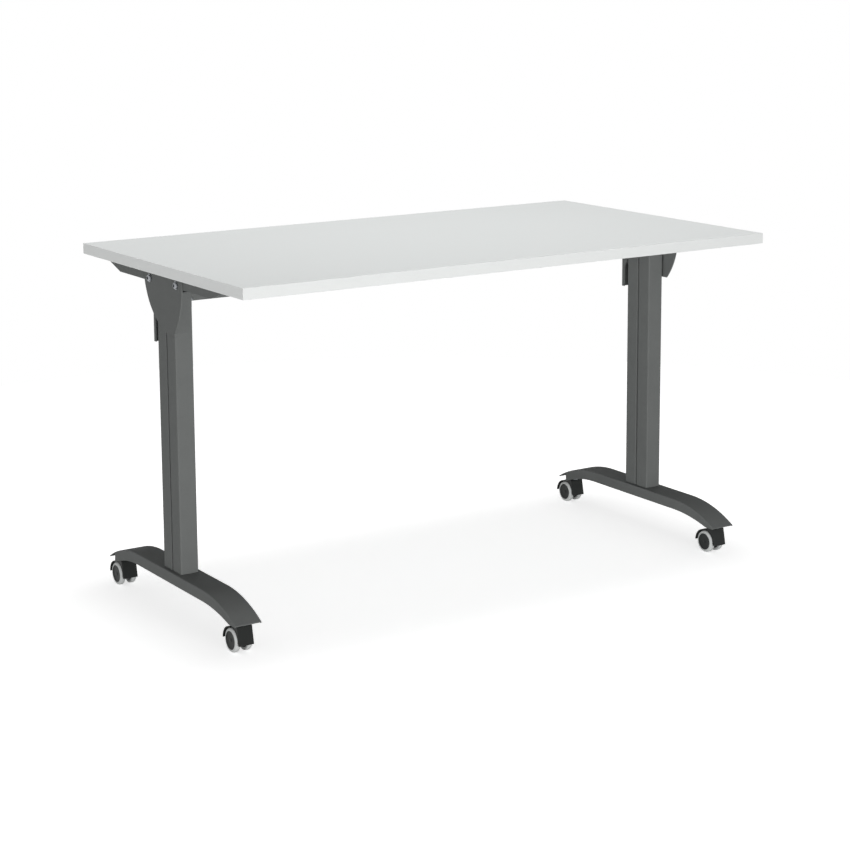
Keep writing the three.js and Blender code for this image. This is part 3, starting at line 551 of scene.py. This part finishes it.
def fastener_tree(name, cutter_for):
    """Nodes that set a domed head on a washer at every given place, turned to the place's facing."""
    inputs = {"Places": "Geometry", **dict.fromkeys(BEAM_BOLT, "Float"), "Finish": "Material"}
    tree, given = new_tree(name, inputs, "Fasteners")
    parts = [domed_head(given, cutter_for(given)), flat_washer(given)]
    fastener = given["Places"].node("GeometryNodeJoinGeometry", {}, {"Geometry": parts})
    sockets = {"Points": given["Places"], "Instance": fastener, "Rotation": tightened_turn(given)}
    end_tree(fastener.node("GeometryNodeInstanceOnPoints", {}, sockets), given["Finish"])
    return tree


def fasteners(name, tree, sizes, finish, places):
    """The plain mesh of one fastener at each (place, facing)."""
    mesh = bpy.data.meshes.new(name)
    mesh.from_pydata([place for place, facing in places], [], [])
    facings = mesh.attributes.new("facing", "FLOAT_VECTOR", "POINT")
    for spot, (place, facing) in zip(facings.data, places):
        spot.vector = facing
    return grown(name, tree, {**sizes, "Finish": finish}, mesh)


zinc = zinc_plate()
bolt_tree = fastener_tree("socket_bolt", hexagon_socket)
node = "cross_beam"
piece(f"{node}_tube", softened(node), steel_coat, "frame", [node], BEAM_EDGE, crease=50)
beam_low, beam_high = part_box(node)
beam_bolt_places = []
for side, face in ((-1, beam_low.x), (1, beam_high.x)):
    for y in (beam_low.y + BEAM_BOLT_INSET, beam_high.y - BEAM_BOLT_INSET):
        place = (face - side * FLANGE_THICKNESS, y, (beam_low.z + beam_high.z) / 2)
        beam_bolt_places.append((place, (-side, 0, 0)))
beam_bolts = fasteners("beam_bolts", bolt_tree, BEAM_BOLT, zinc, beam_bolt_places)
piece("beam_bolts", beam_bolts, zinc, "frame")

# Caster stems and axles
# A zinc-plated steel stem screws into each foot's socket; its collar stays in sight above the hood. The axle
# runs through the hood's web into both wheel hubs and is covered by them.
CORNERS = ("front_left", "rear_left", "front_right", "rear_right")
STEM_PIN = 0.004
STEM_COLLAR = 0.009
STEM_ROUND = 0.0006
COLLAR_BOTTOM = 0.0583
COLLAR_TOP = 0.0607

for corner in CORNERS:
    node = f"caster_stem_{corner}"
    low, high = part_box(node)
    centre = middle(node)
    stem_line = [(0, low.z), (STEM_PIN, low.z), (STEM_PIN, COLLAR_BOTTOM)]
    stem_line += [(STEM_COLLAR - STEM_ROUND, COLLAR_BOTTOM), (STEM_COLLAR, COLLAR_BOTTOM + STEM_ROUND)]
    stem_line += [(STEM_COLLAR, COLLAR_TOP - STEM_ROUND), (STEM_COLLAR - STEM_ROUND, COLLAR_TOP)]
    stem_line += [(STEM_PIN, COLLAR_TOP), (STEM_PIN, high.z), (0, high.z)]
    stem_shape = bmesh.new()
    turned(stem_shape, stem_line, (centre.x, centre.y, 0), "Z")
    piece(f"{node}_turned", stem_shape, zinc, "frame", [node])
    axle = frame["nodes"][f"caster_axle_{corner}"]
    axle.data.materials.clear()
    axle.data.materials.append(zinc)

# Caster hoods
# Each hood is one black plastic moulding: a crown that turns on the stem, with a flat skirt in front, a wider
# fender over both wheels behind it, and a web between the wheels that carries the axle.
HOOD_TRAIL = 0.017
HOOD_OUTER = 0.029
HOOD_INNER = 0.0266
HOOD_FENDER_HALF = 0.0213
HOOD_FENDER_FRONT = 95
HOOD_CROWN_HALF = 0.0085
HOOD_TOE_HEIGHT = 0.020
HOOD_TOE_DEPTH = 0.0024
HOOD_WEB_HALF = 0.0068
HOOD_WEB_REAR = 36
HOOD_WEB_FRONT = 164
HOOD_AXLE_BOSS = 0.007
HOOD_EDGE = 0.0008
CASTER_DARK = (27, 29, 28)
CASTER_LIGHT = (35, 37, 36)


def arc(centre, radius, start, end, steps):
    """Points of an arc between two angles in degrees, both ends included."""
    points = []
    for i in range(steps + 1):
        angle = math.radians(start + (end - start) * i / steps)
        points.append((centre[0] + radius * math.cos(angle), centre[1] + radius * math.sin(angle)))
    return points


def prism(shape, outline, axis, start, end):
    """Adds a solid of one outline drawn out along an axis, from start to end."""
    rings = []
    for along in (start, end):
        order = {"X": lambda a, b: (along, a, b), "Y": lambda a, b: (a, along, b)}[axis]
        rings.append([shape.verts.new(order(a, b)) for a, b in outline])
    bridge(shape, rings)
    for ring in rings:
        shape.faces.new(ring)


def caster_hood(low, high, stem, axle_height):
    """The crown with its skirt, the fender and the web, each drawn out across the caster."""
    shape = bmesh.new()
    axle = (stem.y + HOOD_TRAIL, axle_height)
    fender = arc(axle, HOOD_OUTER, 0, HOOD_FENDER_FRONT, steps=24)
    skirt = [fender[-1], (stem.y + HOOD_CROWN_HALF, high.z), (stem.y - HOOD_CROWN_HALF, high.z)]
    skirt += [(low.y, HOOD_TOE_HEIGHT), (low.y + HOOD_TOE_DEPTH, HOOD_TOE_HEIGHT)]
    skirt += arc(axle, HOOD_INNER, 180, HOOD_FENDER_FRONT, steps=22)
    prism(shape, skirt, "X", low.x, high.x)
    fender += arc(axle, HOOD_INNER, HOOD_FENDER_FRONT, 0, steps=24)
    prism(shape, fender, "X", stem.x - HOOD_FENDER_HALF, stem.x + HOOD_FENDER_HALF)
    web = arc(axle, (HOOD_INNER + HOOD_OUTER) / 2, HOOD_WEB_REAR, HOOD_WEB_FRONT, steps=30)
    web += arc(axle, HOOD_AXLE_BOSS, 180, 360, steps=16)
    prism(shape, web, "X", stem.x - HOOD_WEB_HALF, stem.x + HOOD_WEB_HALF)
    return shape


caster_plastic = moulded_black("caster_plastic", CASTER_DARK, CASTER_LIGHT)
for corner in CORNERS:
    node = f"caster_hood_{corner}"
    hood = caster_hood(*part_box(node), middle(f"caster_stem_{corner}"), middle(f"caster_axle_{corner}").z)
    piece(f"{node}_moulding", hood, caster_plastic, f"caster_{corner}", [node], HOOD_EDGE)

# Caster wheels
# Each wheel is a black plastic hub with a shallow dish and a raised rim, and a soft grey tyre moulded round
# it. The two wheels of a caster roll on one axle, and each turns by itself.
HUB_RADIUS = 0.019
HUB_RIM = 0.0014
HUB_DISH = 0.0012
HUB_STEP = 0.0030
HUB_CAP_RADIUS = 0.0046
HUB_CAP_RISE = 0.0007
TYRE_BORE = 0.0191
TYRE_SHOULDER = 0.0049
TYRE_INNER_SHOULDER = 0.002
WHEEL_SEGMENTS = 72
TYRE_DARK = (186, 188, 187)
TYRE_LIGHT = (200, 202, 201)
TYRE_ROUGHNESS = 0.66


def tyre_rubber():
    """Soft grey tyre rubber: dull, a little uneven in tone, with a fine pebbled skin."""
    material, shader, place = new_finish("tyre_rubber", {"Specular IOR Level": 0.3})
    pebble = noise(place, size=0.0008)
    scuff = noise(place, size=0.006, detail=4.0)
    mixed_colour(scuff, TYRE_DARK, TYRE_LIGHT).into(shader, "Base Color")
    varied(TYRE_ROUGHNESS, scuff, spread=0.2).into(shader, "Roughness")
    bumped(pebble, depth=0.00004).into(shader, "Normal")
    return material


def wheel_hub(inner, outer):
    """Profile of the hub from the axle out and back, between its inner and outer face."""
    side = math.copysign(1, outer - inner)
    dish = outer - side * HUB_DISH
    cap = dish + side * HUB_CAP_RISE
    rounding = HUB_RIM / 3
    line = [(0, cap), (HUB_CAP_RADIUS - HUB_CAP_RISE, cap), (HUB_CAP_RADIUS, dish)]
    line += [(HUB_RADIUS - HUB_STEP, dish), (HUB_RADIUS - HUB_RIM, outer), (HUB_RADIUS - rounding, outer)]
    return line + [(HUB_RADIUS, outer - side * rounding), (HUB_RADIUS, inner), (0, inner)]


def wheel_tyre(inner, outer, radius):
    """Profile of the tyre, closed on itself: a flat tread with a round outer shoulder."""
    side = math.copysign(1, outer - inner)
    line = [(TYRE_BORE, inner), (radius - TYRE_INNER_SHOULDER, inner)]
    turn = (radius - TYRE_INNER_SHOULDER, TYRE_INNER_SHOULDER)
    line += [(r, inner + side * w) for r, w in arc(turn, TYRE_INNER_SHOULDER, -90, 0, steps=5)]
    turn = (radius - TYRE_SHOULDER, abs(outer - inner) - TYRE_SHOULDER)
    line += [(r, inner + side * w) for r, w in arc(turn, TYRE_SHOULDER, 0, 90, steps=9)]
    return line + [(TYRE_BORE, outer), (TYRE_BORE, inner)]


def wheel_faces(node, middle_x):
    """How far a wheel part's inner and outer face lie from the caster's middle."""
    low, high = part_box(node)
    return sorted((low.x - middle_x, high.x - middle_x), key=abs)


tyre_grey = tyre_rubber()
for corner in CORNERS:
    middle_x = middle(f"caster_stem_{corner}").x
    for wheel in (f"{corner}_outer", f"{corner}_inner"):
        centre = middle(f"wheel_tyre_{wheel}")
        centre.x = middle_x
        hub_line = wheel_hub(*wheel_faces(f"wheel_hub_{wheel}", middle_x))
        tyre_line = wheel_tyre(*wheel_faces(f"wheel_tyre_{wheel}", middle_x), centre.z)
        for node, line, finish, slot in (
            (f"wheel_hub_{wheel}", hub_line, caster_plastic, "black_plastic"),
            (f"wheel_tyre_{wheel}", tyre_line, tyre_grey, "tyre_rubber"),
        ):
            wheel_shape = bmesh.new()
            turned(wheel_shape, line, centre, "X", WHEEL_SEGMENTS)
            piece(f"{node}_turned", wheel_shape, finish, f"wheel_{wheel}", [node], crease=60)

# Pivot bushes
# A flanged black plastic bush is pressed through each column's head. The plate's shaft turns in it, and its
# flange keeps the plate's steel off the column.
BUSH_RADIUS = 0.009
BUSH_FLANGE = 0.012
BUSH_BORE = 0.0063
BUSH_FLANGE_START = 0.0203

for hand, side in HANDS.items():
    node = f"pivot_bush_{hand}"
    low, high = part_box(node)
    centre = middle(node)
    centre.x = middle(f"column_{hand}").x
    near, far = sorted((low.x - centre.x, high.x - centre.x), key=lambda x: x * side)
    bush_line = [(BUSH_BORE, near), (BUSH_RADIUS, near), (BUSH_RADIUS, side * BUSH_FLANGE_START)]
    bush_line += [(BUSH_FLANGE, side * BUSH_FLANGE_START), (BUSH_FLANGE, far)]
    bush_line += [(BUSH_BORE, far), (BUSH_BORE, near)]
    bush_shape = bmesh.new()
    turned(bush_shape, bush_line, centre, "X")
    piece(f"{node}_turned", bush_shape, bush_plastic, "frame", [node])

# Rails
# A bent steel angle with tapered ends runs front to back under each end of the top. It is screwed up into the
# board through its flange with zinc-plated cross-head wood screws.
RAIL_EDGE = 0.0004
RAIL_SHEET = 0.003
RAIL_SCREWS_Y = (-0.230, -0.110, 0.110, 0.230)
WOOD_SCREW = {
    "Head Radius": 0.0042,
    "Head Height": 0.0024,
    "Washer Radius": 0.0046,
    "Washer Thickness": 0.0005,
    "Socket Radius": 0.0024,
    "Socket Depth": 0.0015,
}
CROSS_SLOT = 0.42


def cross_recess(given):
    """Cutter for a cross recess in a head's crown."""
    reach = given["Socket Radius"] * 2.0
    slot_width = given["Socket Radius"] * CROSS_SLOT
    depth = given["Socket Depth"] * 2.0
    bars = []
    for x, y in ((reach, slot_width), (slot_width, reach)):
        bars.append(reach.node("GeometryNodeMeshCube", {}, {"Size": vector(x, y, depth)}, "Mesh"))
    return reach.node("GeometryNodeJoinGeometry", {}, {"Geometry": bars})


wood_screw_places = []
for hand in HANDS:
    node = f"rail_{hand}"
    piece(f"{node}_angle", softened(node), steel_coat, "top", [node], RAIL_EDGE, crease=35)
    leg_x = middle(f"column_{hand}").x
    flange_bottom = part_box(node)[1].z - RAIL_SHEET
    wood_screw_places += [((leg_x, y, flange_bottom), (0, 0, -1)) for y in RAIL_SCREWS_Y]
screw_tree = fastener_tree("cross_head_screw", cross_recess)
rail_screws = fasteners("rail_screws", screw_tree, WOOD_SCREW, zinc, wood_screw_places)
piece("rail_screws", rail_screws, zinc, "top")

# Pivot plates
# A shield-shaped steel plate is bolted to the outside of each rail and hangs over the column's head. The
# shaft that the top turns on, and the stud that the latch holds, are welded to its inner side.
PLATE_SHEET = 0.003
PLATE_CORNER = 0.005
PLATE_CURVE_DROP = 0.012
PLATE_FRONT_FOOT = -0.050
PLATE_FRONT_ARC = 0.156
PLATE_REAR_FOOT = -0.017
PLATE_REAR_ARC = 0.1326
PLATE_EDGE = 0.0005
SHAFT_RADIUS = 0.006
STUD_RADIUS = 0.004
STUD_PLACE = (0.050, 0.698)
STUD_END = 0.017


def bulge(start, end, radius, steps):
    """Points of an arc from one point to another, turning left on the way, both ends included."""
    start, end = Vector(start), Vector(end)
    chord = end - start
    rise = math.sqrt(radius ** 2 - (chord.length / 2) ** 2)
    centre = (start + end) / 2 + Vector((-chord.y, chord.x)).normalized() * rise
    first = math.degrees(math.atan2(*(start - centre).yx))
    sweep = 2 * math.degrees(math.asin(chord.length / 2 / radius))
    return arc(centre, radius, first, first + sweep, steps)


def shield(low, high):
    """The plate's outline: two corners at its top, and two arcs that draw in to a short foot."""
    curve_start = high.z - PLATE_CURVE_DROP
    corner_z = high.z - PLATE_CORNER
    outline = bulge((PLATE_REAR_FOOT, low.z), (high.y, curve_start), PLATE_REAR_ARC, steps=28)
    outline += arc((high.y - PLATE_CORNER, corner_z), PLATE_CORNER, 0, 90, steps=6)
    outline += arc((low.y + PLATE_CORNER, corner_z), PLATE_CORNER, 90, 180, steps=6)
    return outline + bulge((low.y, curve_start), (PLATE_FRONT_FOOT, low.z), PLATE_FRONT_ARC, steps=28)


def round_bar(radius, start, end):
    """Profile of a plain round bar between two places along its axis."""
    return [(0, start), (radius, start), (radius, end), (0, end)]


for hand, side in HANDS.items():
    node = f"pivot_plate_{hand}"
    low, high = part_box(node)
    shaft_end, outer = (low.x, high.x) if side > 0 else (high.x, low.x)
    weld = outer - side * PLATE_SHEET / 2
    stud_end = middle(f"column_{hand}").x - side * STUD_END
    pivot = middle(f"pivot_bush_{hand}")
    plate_shape = bmesh.new()
    prism(plate_shape, shield(low, high), "X", outer - side * PLATE_SHEET, outer)
    turned(plate_shape, round_bar(SHAFT_RADIUS, shaft_end, weld), (0, pivot.y, pivot.z), "X")
    turned(plate_shape, round_bar(STUD_RADIUS, stud_end, weld), (0, *STUD_PLACE), "X", segments=32)
    piece(f"{node}_shield", plate_shape, steel_coat, "top", [node], PLATE_EDGE)

# Plate bolts
# Two zinc-plated button-head bolts with a hexagon socket, each on a round washer, clamp every plate to its
# rail. They turn with the top.
PLATE_BOLT = {
    "Head Radius": 0.0072,
    "Head Height": 0.0042,
    "Washer Radius": 0.0086,
    "Washer Thickness": 0.0014,
    "Socket Radius": 0.0037,
    "Socket Depth": 0.0032,
}

plate_bolt_nodes = [f"plate_bolt_{hand}_{end}" for hand in HANDS for end in ("front", "rear")]
plate_bolt_places = []
for node in plate_bolt_nodes:
    low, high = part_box(node)
    side = math.copysign(1, low.x)
    seat = middle(node)
    seat.x = high.x if side > 0 else low.x
    seat.x -= side * (PLATE_BOLT["Head Height"] + PLATE_BOLT["Washer Thickness"])
    plate_bolt_places.append((seat, (side, 0, 0)))
plate_bolts = fasteners("plate_bolts", bolt_tree, PLATE_BOLT, zinc, plate_bolt_places)
piece("plate_bolts", plate_bolts, zinc, "top", plate_bolt_nodes)

# Latch brackets, pins and springs
# Behind each column a folded steel bracket carries the lever's pin, a zinc-plated steel pin with two heads.
# A coil spring of drawn wire, between the column and the lever, pushes the lever back to its hold.
BRACKET_EDGE = 0.0003
PIN_RADIUS = 0.003
PIN_HEAD_RADIUS = 0.0046
PIN_HEAD_HEIGHT = 0.0015
PIN_ROUND = 0.0007
SPRING_WIRE = 0.0007
SPRING_TURNS = 5.0
SPRING_STEPS = 40
SPRING_WIRE_SIDES = 12
WIRE_DARK = (120, 122, 125)
WIRE_LIGHT = (160, 162, 164)
WIRE_ROUGHNESS = 0.3


def spring_wire():
    """Drawn spring wire: a darker metal with a slightly streaked, oiled surface."""
    material, shader, place = new_finish("spring_wire", {"Metallic": 1.0})
    streak = noise(place, size=0.0009, detail=3.0)
    mixed_colour(streak, WIRE_DARK, WIRE_LIGHT).into(shader, "Base Color")
    varied(WIRE_ROUGHNESS, streak, spread=0.25).into(shader, "Roughness")
    return material


def coil_tree():
    """Nodes that wind one round wire into an open coil along Z."""
    sizes = ("Turns", "Coil Radius", "Length", "Wire Radius")
    tree, given = new_tree("lever_coil", {**dict.fromkeys(sizes, "Float"), "Finish": "Material"}, "Coil")
    radius = given["Coil Radius"]
    path = {"Resolution": SPRING_STEPS, "Rotations": given["Turns"], "Height": given["Length"]}
    path.update({"Start Radius": radius, "End Radius": radius})
    coil = radius.node("GeometryNodeCurveSpiral", {}, path)
    round_wire = {"Resolution": SPRING_WIRE_SIDES, "Radius": given["Wire Radius"]}
    ring = radius.node("GeometryNodeCurvePrimitiveCircle", {}, round_wire)
    sockets = {"Curve": coil, "Profile Curve": ring, "Fill Caps": True}
    end_tree(radius.node("GeometryNodeCurveToMesh", {}, sockets), given["Finish"])
    return tree


def lever_coil(tree, low, high, finish):
    """The spring's mesh, wound along Y inside its node's box."""
    values = {
        "Turns": SPRING_TURNS,
        "Coil Radius": (high.x - low.x) / 2 - SPRING_WIRE,
        "Length": high.y - low.y - 2 * SPRING_WIRE,
        "Wire Radius": SPRING_WIRE,
        "Finish": finish,
    }
    mesh = grown("lever_coil", tree, values, bpy.data.meshes.new("lever_coil"))
    start = ((low.x + high.x) / 2, low.y + SPRING_WIRE, (low.z + high.z) / 2)
    mesh.transform(Matrix.Translation(start) @ Matrix.Rotation(math.radians(-90), 4, "X"))
    return mesh


def headed_pin(half):
    """Profile of a pin with a round-edged head on both ends."""
    line = [(0, -half), (PIN_HEAD_RADIUS - PIN_ROUND, -half), (PIN_HEAD_RADIUS, PIN_ROUND - half)]
    line += [(PIN_HEAD_RADIUS, PIN_HEAD_HEIGHT - half), (PIN_RADIUS, PIN_HEAD_HEIGHT - half)]
    return line + [(radius, -along) for radius, along in reversed(line)]


wire_steel = spring_wire()
spring_tree = coil_tree()
for hand in HANDS:
    node = f"lever_bracket_{hand}"
    bracket = softened(node)
    piece(f"{node}_fold", bracket, steel_coat, "frame", [node], BRACKET_EDGE, crease=35)
    node = f"lever_pin_{hand}"
    low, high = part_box(node)
    pin_shape = bmesh.new()
    turned(pin_shape, headed_pin((high.x - low.x) / 2), middle(node), "X", segments=32)
    piece(f"{node}_turned", pin_shape, zinc, "frame", [node])
    node = f"lever_spring_{hand}"
    low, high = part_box(node)
    coil = lever_coil(spring_tree, low, high, wire_steel)
    spring = piece(f"{node}_coil", coil, wire_steel, "frame", [node], crease=60)
    seat = ((low.x + high.x) / 2, low.y, (low.z + high.z) / 2)
    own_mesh(spring)

# Release levers
# Each lever is a strip of sheet steel folded into a channel and powder coated. Its sides widen round the pin
# and end in hooks that hold the plate's stud down; squeezing the lower end to the column lets it go.
LEVER_EDGE = 0.0005

for hand in HANDS:
    node = f"release_lever_{hand}"
    lever = softened(node)
    piece(f"{node}_fold", lever, steel_coat, f"lever_{hand}", [node], LEVER_EDGE, crease=35)

# Stop buffers
# A turned rubber buffer is screwed under each rail. It meets the column's front face when the top stands
# upright.
BUFFER_ROUND = 0.0016
BUFFER_DARK = (24, 25, 25)
BUFFER_LIGHT = (34, 35, 35)
BUFFER_ROUGHNESS = 0.8


def buffer_rubber():
    """Black rubber: dull, with a bloom of lighter grey."""
    material, shader, place = new_finish("buffer_rubber", {"Specular IOR Level": 0.3})
    bloom = noise(place, size=0.005, detail=3.0)
    mixed_colour(bloom, BUFFER_DARK, BUFFER_LIGHT).into(shader, "Base Color")
    varied(BUFFER_ROUGHNESS, bloom, spread=0.2).into(shader, "Roughness")
    bumped(noise(place, size=0.0007), depth=0.00003).into(shader, "Normal")
    return material


black_rubber = buffer_rubber()
for hand in HANDS:
    node = f"stop_buffer_{hand}"
    low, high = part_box(node)
    centre = middle(node)
    radius = (high.y - low.y) / 2
    buffer_line = [(0, low.z)]
    buffer_line += arc((radius - BUFFER_ROUND, low.z + BUFFER_ROUND), BUFFER_ROUND, -90, 0, steps=5)
    buffer_line += [(radius, high.z), (0, high.z)]
    buffer_shape = bmesh.new()
    turned(buffer_shape, buffer_line, (centre.x, centre.y, 0), "Z")
    piece(f"{node}_turned", buffer_shape, black_rubber, "top", [node])

# Table top
# The board is particle board faced on both sides with pale grey laminate. A plastic edge band of the same
# colour is glued on each side, with its outer edges rounded over.
BAND_ARRIS = 0.001
BAND_ARRIS_STEPS = 4
BAND_SIDES = {"front": ("X", -1), "rear": ("X", 1), "left": ("Y", -1), "right": ("Y", 1)}
LAMINATE_DARK = (213, 216, 215)
LAMINATE_LIGHT = (220, 223, 222)
LAMINATE_ROUGHNESS = 0.44
BAND_DARK = (216, 218, 217)
BAND_LIGHT = (222, 224, 223)
BAND_ROUGHNESS = 0.40


def laminate_face():
    """Melamine laminate: a fine pearl texture and a barely clouded pale grey."""
    material, shader, place = new_finish("pale_laminate", {"Specular IOR Level": 0.4})
    pearl = noise(place, size=0.0007)
    cloud = noise(place, size=0.09, detail=3.0)
    fibre = noise(place, size=0.0025)
    tone = blended(cloud, fibre, share=0.5)
    mixed_colour(tone, LAMINATE_DARK, LAMINATE_LIGHT).into(shader, "Base Color")
    clouded = varied(LAMINATE_ROUGHNESS, cloud, spread=0.08)
    varied(clouded, pearl, spread=0.10).into(shader, "Roughness")
    bumped(pearl, depth=0.00003).into(shader, "Normal")
    return material


def band_plastic():
    """Extruded edge band: smoother than the laminate, with a faint mottle."""
    material, shader, place = new_finish("edge_band_plastic", {"Specular IOR Level": 0.4})
    skin = noise(place, size=0.0014)
    cloud = noise(place, size=0.06)
    mixed_colour(blended(cloud, skin, share=0.4), BAND_DARK, BAND_LIGHT).into(shader, "Base Color")
    varied(BAND_ROUGHNESS, skin, spread=0.10).into(shader, "Roughness")
    bumped(skin, depth=0.00002).into(shader, "Normal")
    return material


def edge_band(low, high, along, outwards):
    """A strip along an axis whose two outer edges, on the given side, are rounded."""
    across = 1 if along == "X" else 0
    outer, inner = (low[across], high[across]) if outwards < 0 else (high[across], low[across])
    turn = outer - outwards * BAND_ARRIS
    rounded = arc((0, high.z - BAND_ARRIS), BAND_ARRIS, 90, 0, BAND_ARRIS_STEPS)
    rounded += arc((0, low.z + BAND_ARRIS), BAND_ARRIS, 0, -90, BAND_ARRIS_STEPS)
    outline = [(inner, low.z), (inner, high.z)] + [(turn + outwards * out, z) for out, z in rounded]
    shape = bmesh.new()
    span = (low.x, high.x) if along == "X" else (low.y, high.y)
    prism(shape, outline, along, *span)
    return shape


board = frame["nodes"]["table_top"]
board.data.materials.clear()
board.data.materials.append(laminate_face())
band_finish = band_plastic()
for side_name, (along, outwards) in BAND_SIDES.items():
    node = f"edge_band_{side_name}"
    band = edge_band(*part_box(node), along, outwards)
    piece(f"{node}_strip", band, band_finish, "top", [node], crease=50)

# Studio
# A pale floor and white surroundings, one wide light overhead, three low ones around the table, and the
# camera at the photograph's viewing angle. What shines mirrors the surroundings and none of the lights.
WORLD_LEVEL = 0.24
LOW_LIGHT = 0.42
FLOOR_RADIUS = 2.4
FLOOR_SEGMENTS = 96
FLOOR_PALE = (0.8, 0.8, 0.8, 1.0)
FLOOR_GLOW = 0.63
WHITE = (1.0, 1.0, 1.0, 1.0)
LENS = 87.67
CAMERA_PLACE = Vector((-2.451, -3.759, 1.385))
CAMERA_YAW = math.radians(33.05)
CAMERA_PITCH = math.radians(9.7)
CAMERA_ROLL = math.radians(-0.32)
CAMERA_SHIFT = -0.15


def seen_directly(tree):
    """1 where the camera, a reflection or a clear surface looks, and 0 for the light itself."""
    rays = ("Is Camera Ray", "Is Glossy Ray", "Is Transmission Ray")
    camera, glossy, clear = (Field(tree).node("ShaderNodeLightPath", output=ray) for ray in rays)
    both = camera.math("MAXIMUM", camera, glossy)
    return both.math("MAXIMUM", both, clear)


def studio_world():
    """White where it is looked at, and a low even light all round."""
    world = bpy.data.worlds.new("white_studio")
    bpy.context.scene.world = world
    world.use_nodes = True
    tree = world.node_tree
    tree.nodes.clear()
    seen = seen_directly(tree)
    light = seen.node("ShaderNodeBackground", {}, {"Color": WHITE, "Strength": WORLD_LEVEL})
    white = seen.node("ShaderNodeBackground", {}, {"Color": WHITE, "Strength": 1.0})
    mixed = seen.node("ShaderNodeMixShader", {}, {0: seen, 1: light, 2: white})
    mixed.into(tree.nodes.new("ShaderNodeOutputWorld"), "Surface")


def studio_floor():
    """A round floor that is white where it is looked at, apart from the table's soft shadow."""
    shape = bmesh.new()
    bmesh.ops.create_circle(shape, cap_ends=True, radius=FLOOR_RADIUS, segments=FLOOR_SEGMENTS)
    floor = linked("studio_floor", plain_mesh("studio_floor", shape))
    material = bpy.data.materials.new("studio_floor")
    material.use_nodes = True
    tree = material.node_tree
    tree.nodes.clear()
    seen = seen_directly(tree)
    lit = seen.node("ShaderNodeBsdfDiffuse", {}, {"Color": FLOOR_PALE})
    glow = seen.node("ShaderNodeEmission", {}, {"Color": WHITE, "Strength": FLOOR_GLOW})
    shaded = seen.node("ShaderNodeBsdfDiffuse", {}, {"Color": WHITE})
    white = seen.node("ShaderNodeAddShader", {}, {0: glow, 1: shaded})
    mixed = seen.node("ShaderNodeMixShader", {}, {0: seen, 1: lit, 2: white})
    mixed.into(tree.nodes.new("ShaderNodeOutputMaterial"), "Surface")
    floor.data.materials.append(material)
    floor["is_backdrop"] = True


def soft_light(name, place, target, size, power):
    """A rectangular lamp at a place, turned to a target, that neither the camera nor a reflection sees."""
    data = bpy.data.lights.new(name, "AREA")
    data.shape = "RECTANGLE"
    data.size, data.size_y = size
    data.energy = power
    lamp = linked(name, data)
    lamp.location = place
    lamp.rotation_mode = "QUATERNION"
    lamp.rotation_quaternion = (Vector(target) - Vector(place)).to_track_quat("-Z", "Y")
    lamp.visible_camera = False
    lamp.visible_glossy = False


def studio_camera():
    """The photograph's camera: its place, its three turns and its lens."""
    data = bpy.data.cameras.new("camera")
    data.lens = LENS
    data.shift_y = CAMERA_SHIFT
    camera = linked("camera", data)
    ahead = Vector((math.sin(CAMERA_YAW), math.cos(CAMERA_YAW), 0))
    right = Vector((math.cos(CAMERA_YAW), -math.sin(CAMERA_YAW), 0))
    up = Vector((0, 0, 1))
    forward = ahead * math.cos(CAMERA_PITCH) - up * math.sin(CAMERA_PITCH)
    upward = up * math.cos(CAMERA_PITCH) + ahead * math.sin(CAMERA_PITCH)
    across = right * math.cos(CAMERA_ROLL) + upward * math.sin(CAMERA_ROLL)
    upward = upward * math.cos(CAMERA_ROLL) - right * math.sin(CAMERA_ROLL)
    turn = Matrix((across, upward, -forward)).transposed()
    camera.matrix_world = Matrix.Translation(CAMERA_PLACE) @ turn.to_4x4()
    bpy.context.scene.camera = camera


bpy.context.scene.view_settings.view_transform = "Standard"
studio_world()
studio_floor()
soft_light("overhead", place=(0.1, 0.1, 3.3), target=(0, 0, 0.7), size=(1.4, 1.0), power=48)
soft_light("front", place=(-1.0, -4.4, LOW_LIGHT), target=(0, 0, 0.4), size=(3.0, 0.6), power=135)
soft_light("left", place=(-14.0, -3.5, LOW_LIGHT), target=(0, 0, 0.4), size=(6.0, 0.6), power=580)
soft_light("right", place=(14.0, 0.5, LOW_LIGHT), target=(0, 0, 0.4), size=(6.0, 0.6), power=520)
studio_camera()

# Size
# The box of the dressed table, without the floor, is measured.
low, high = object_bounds()
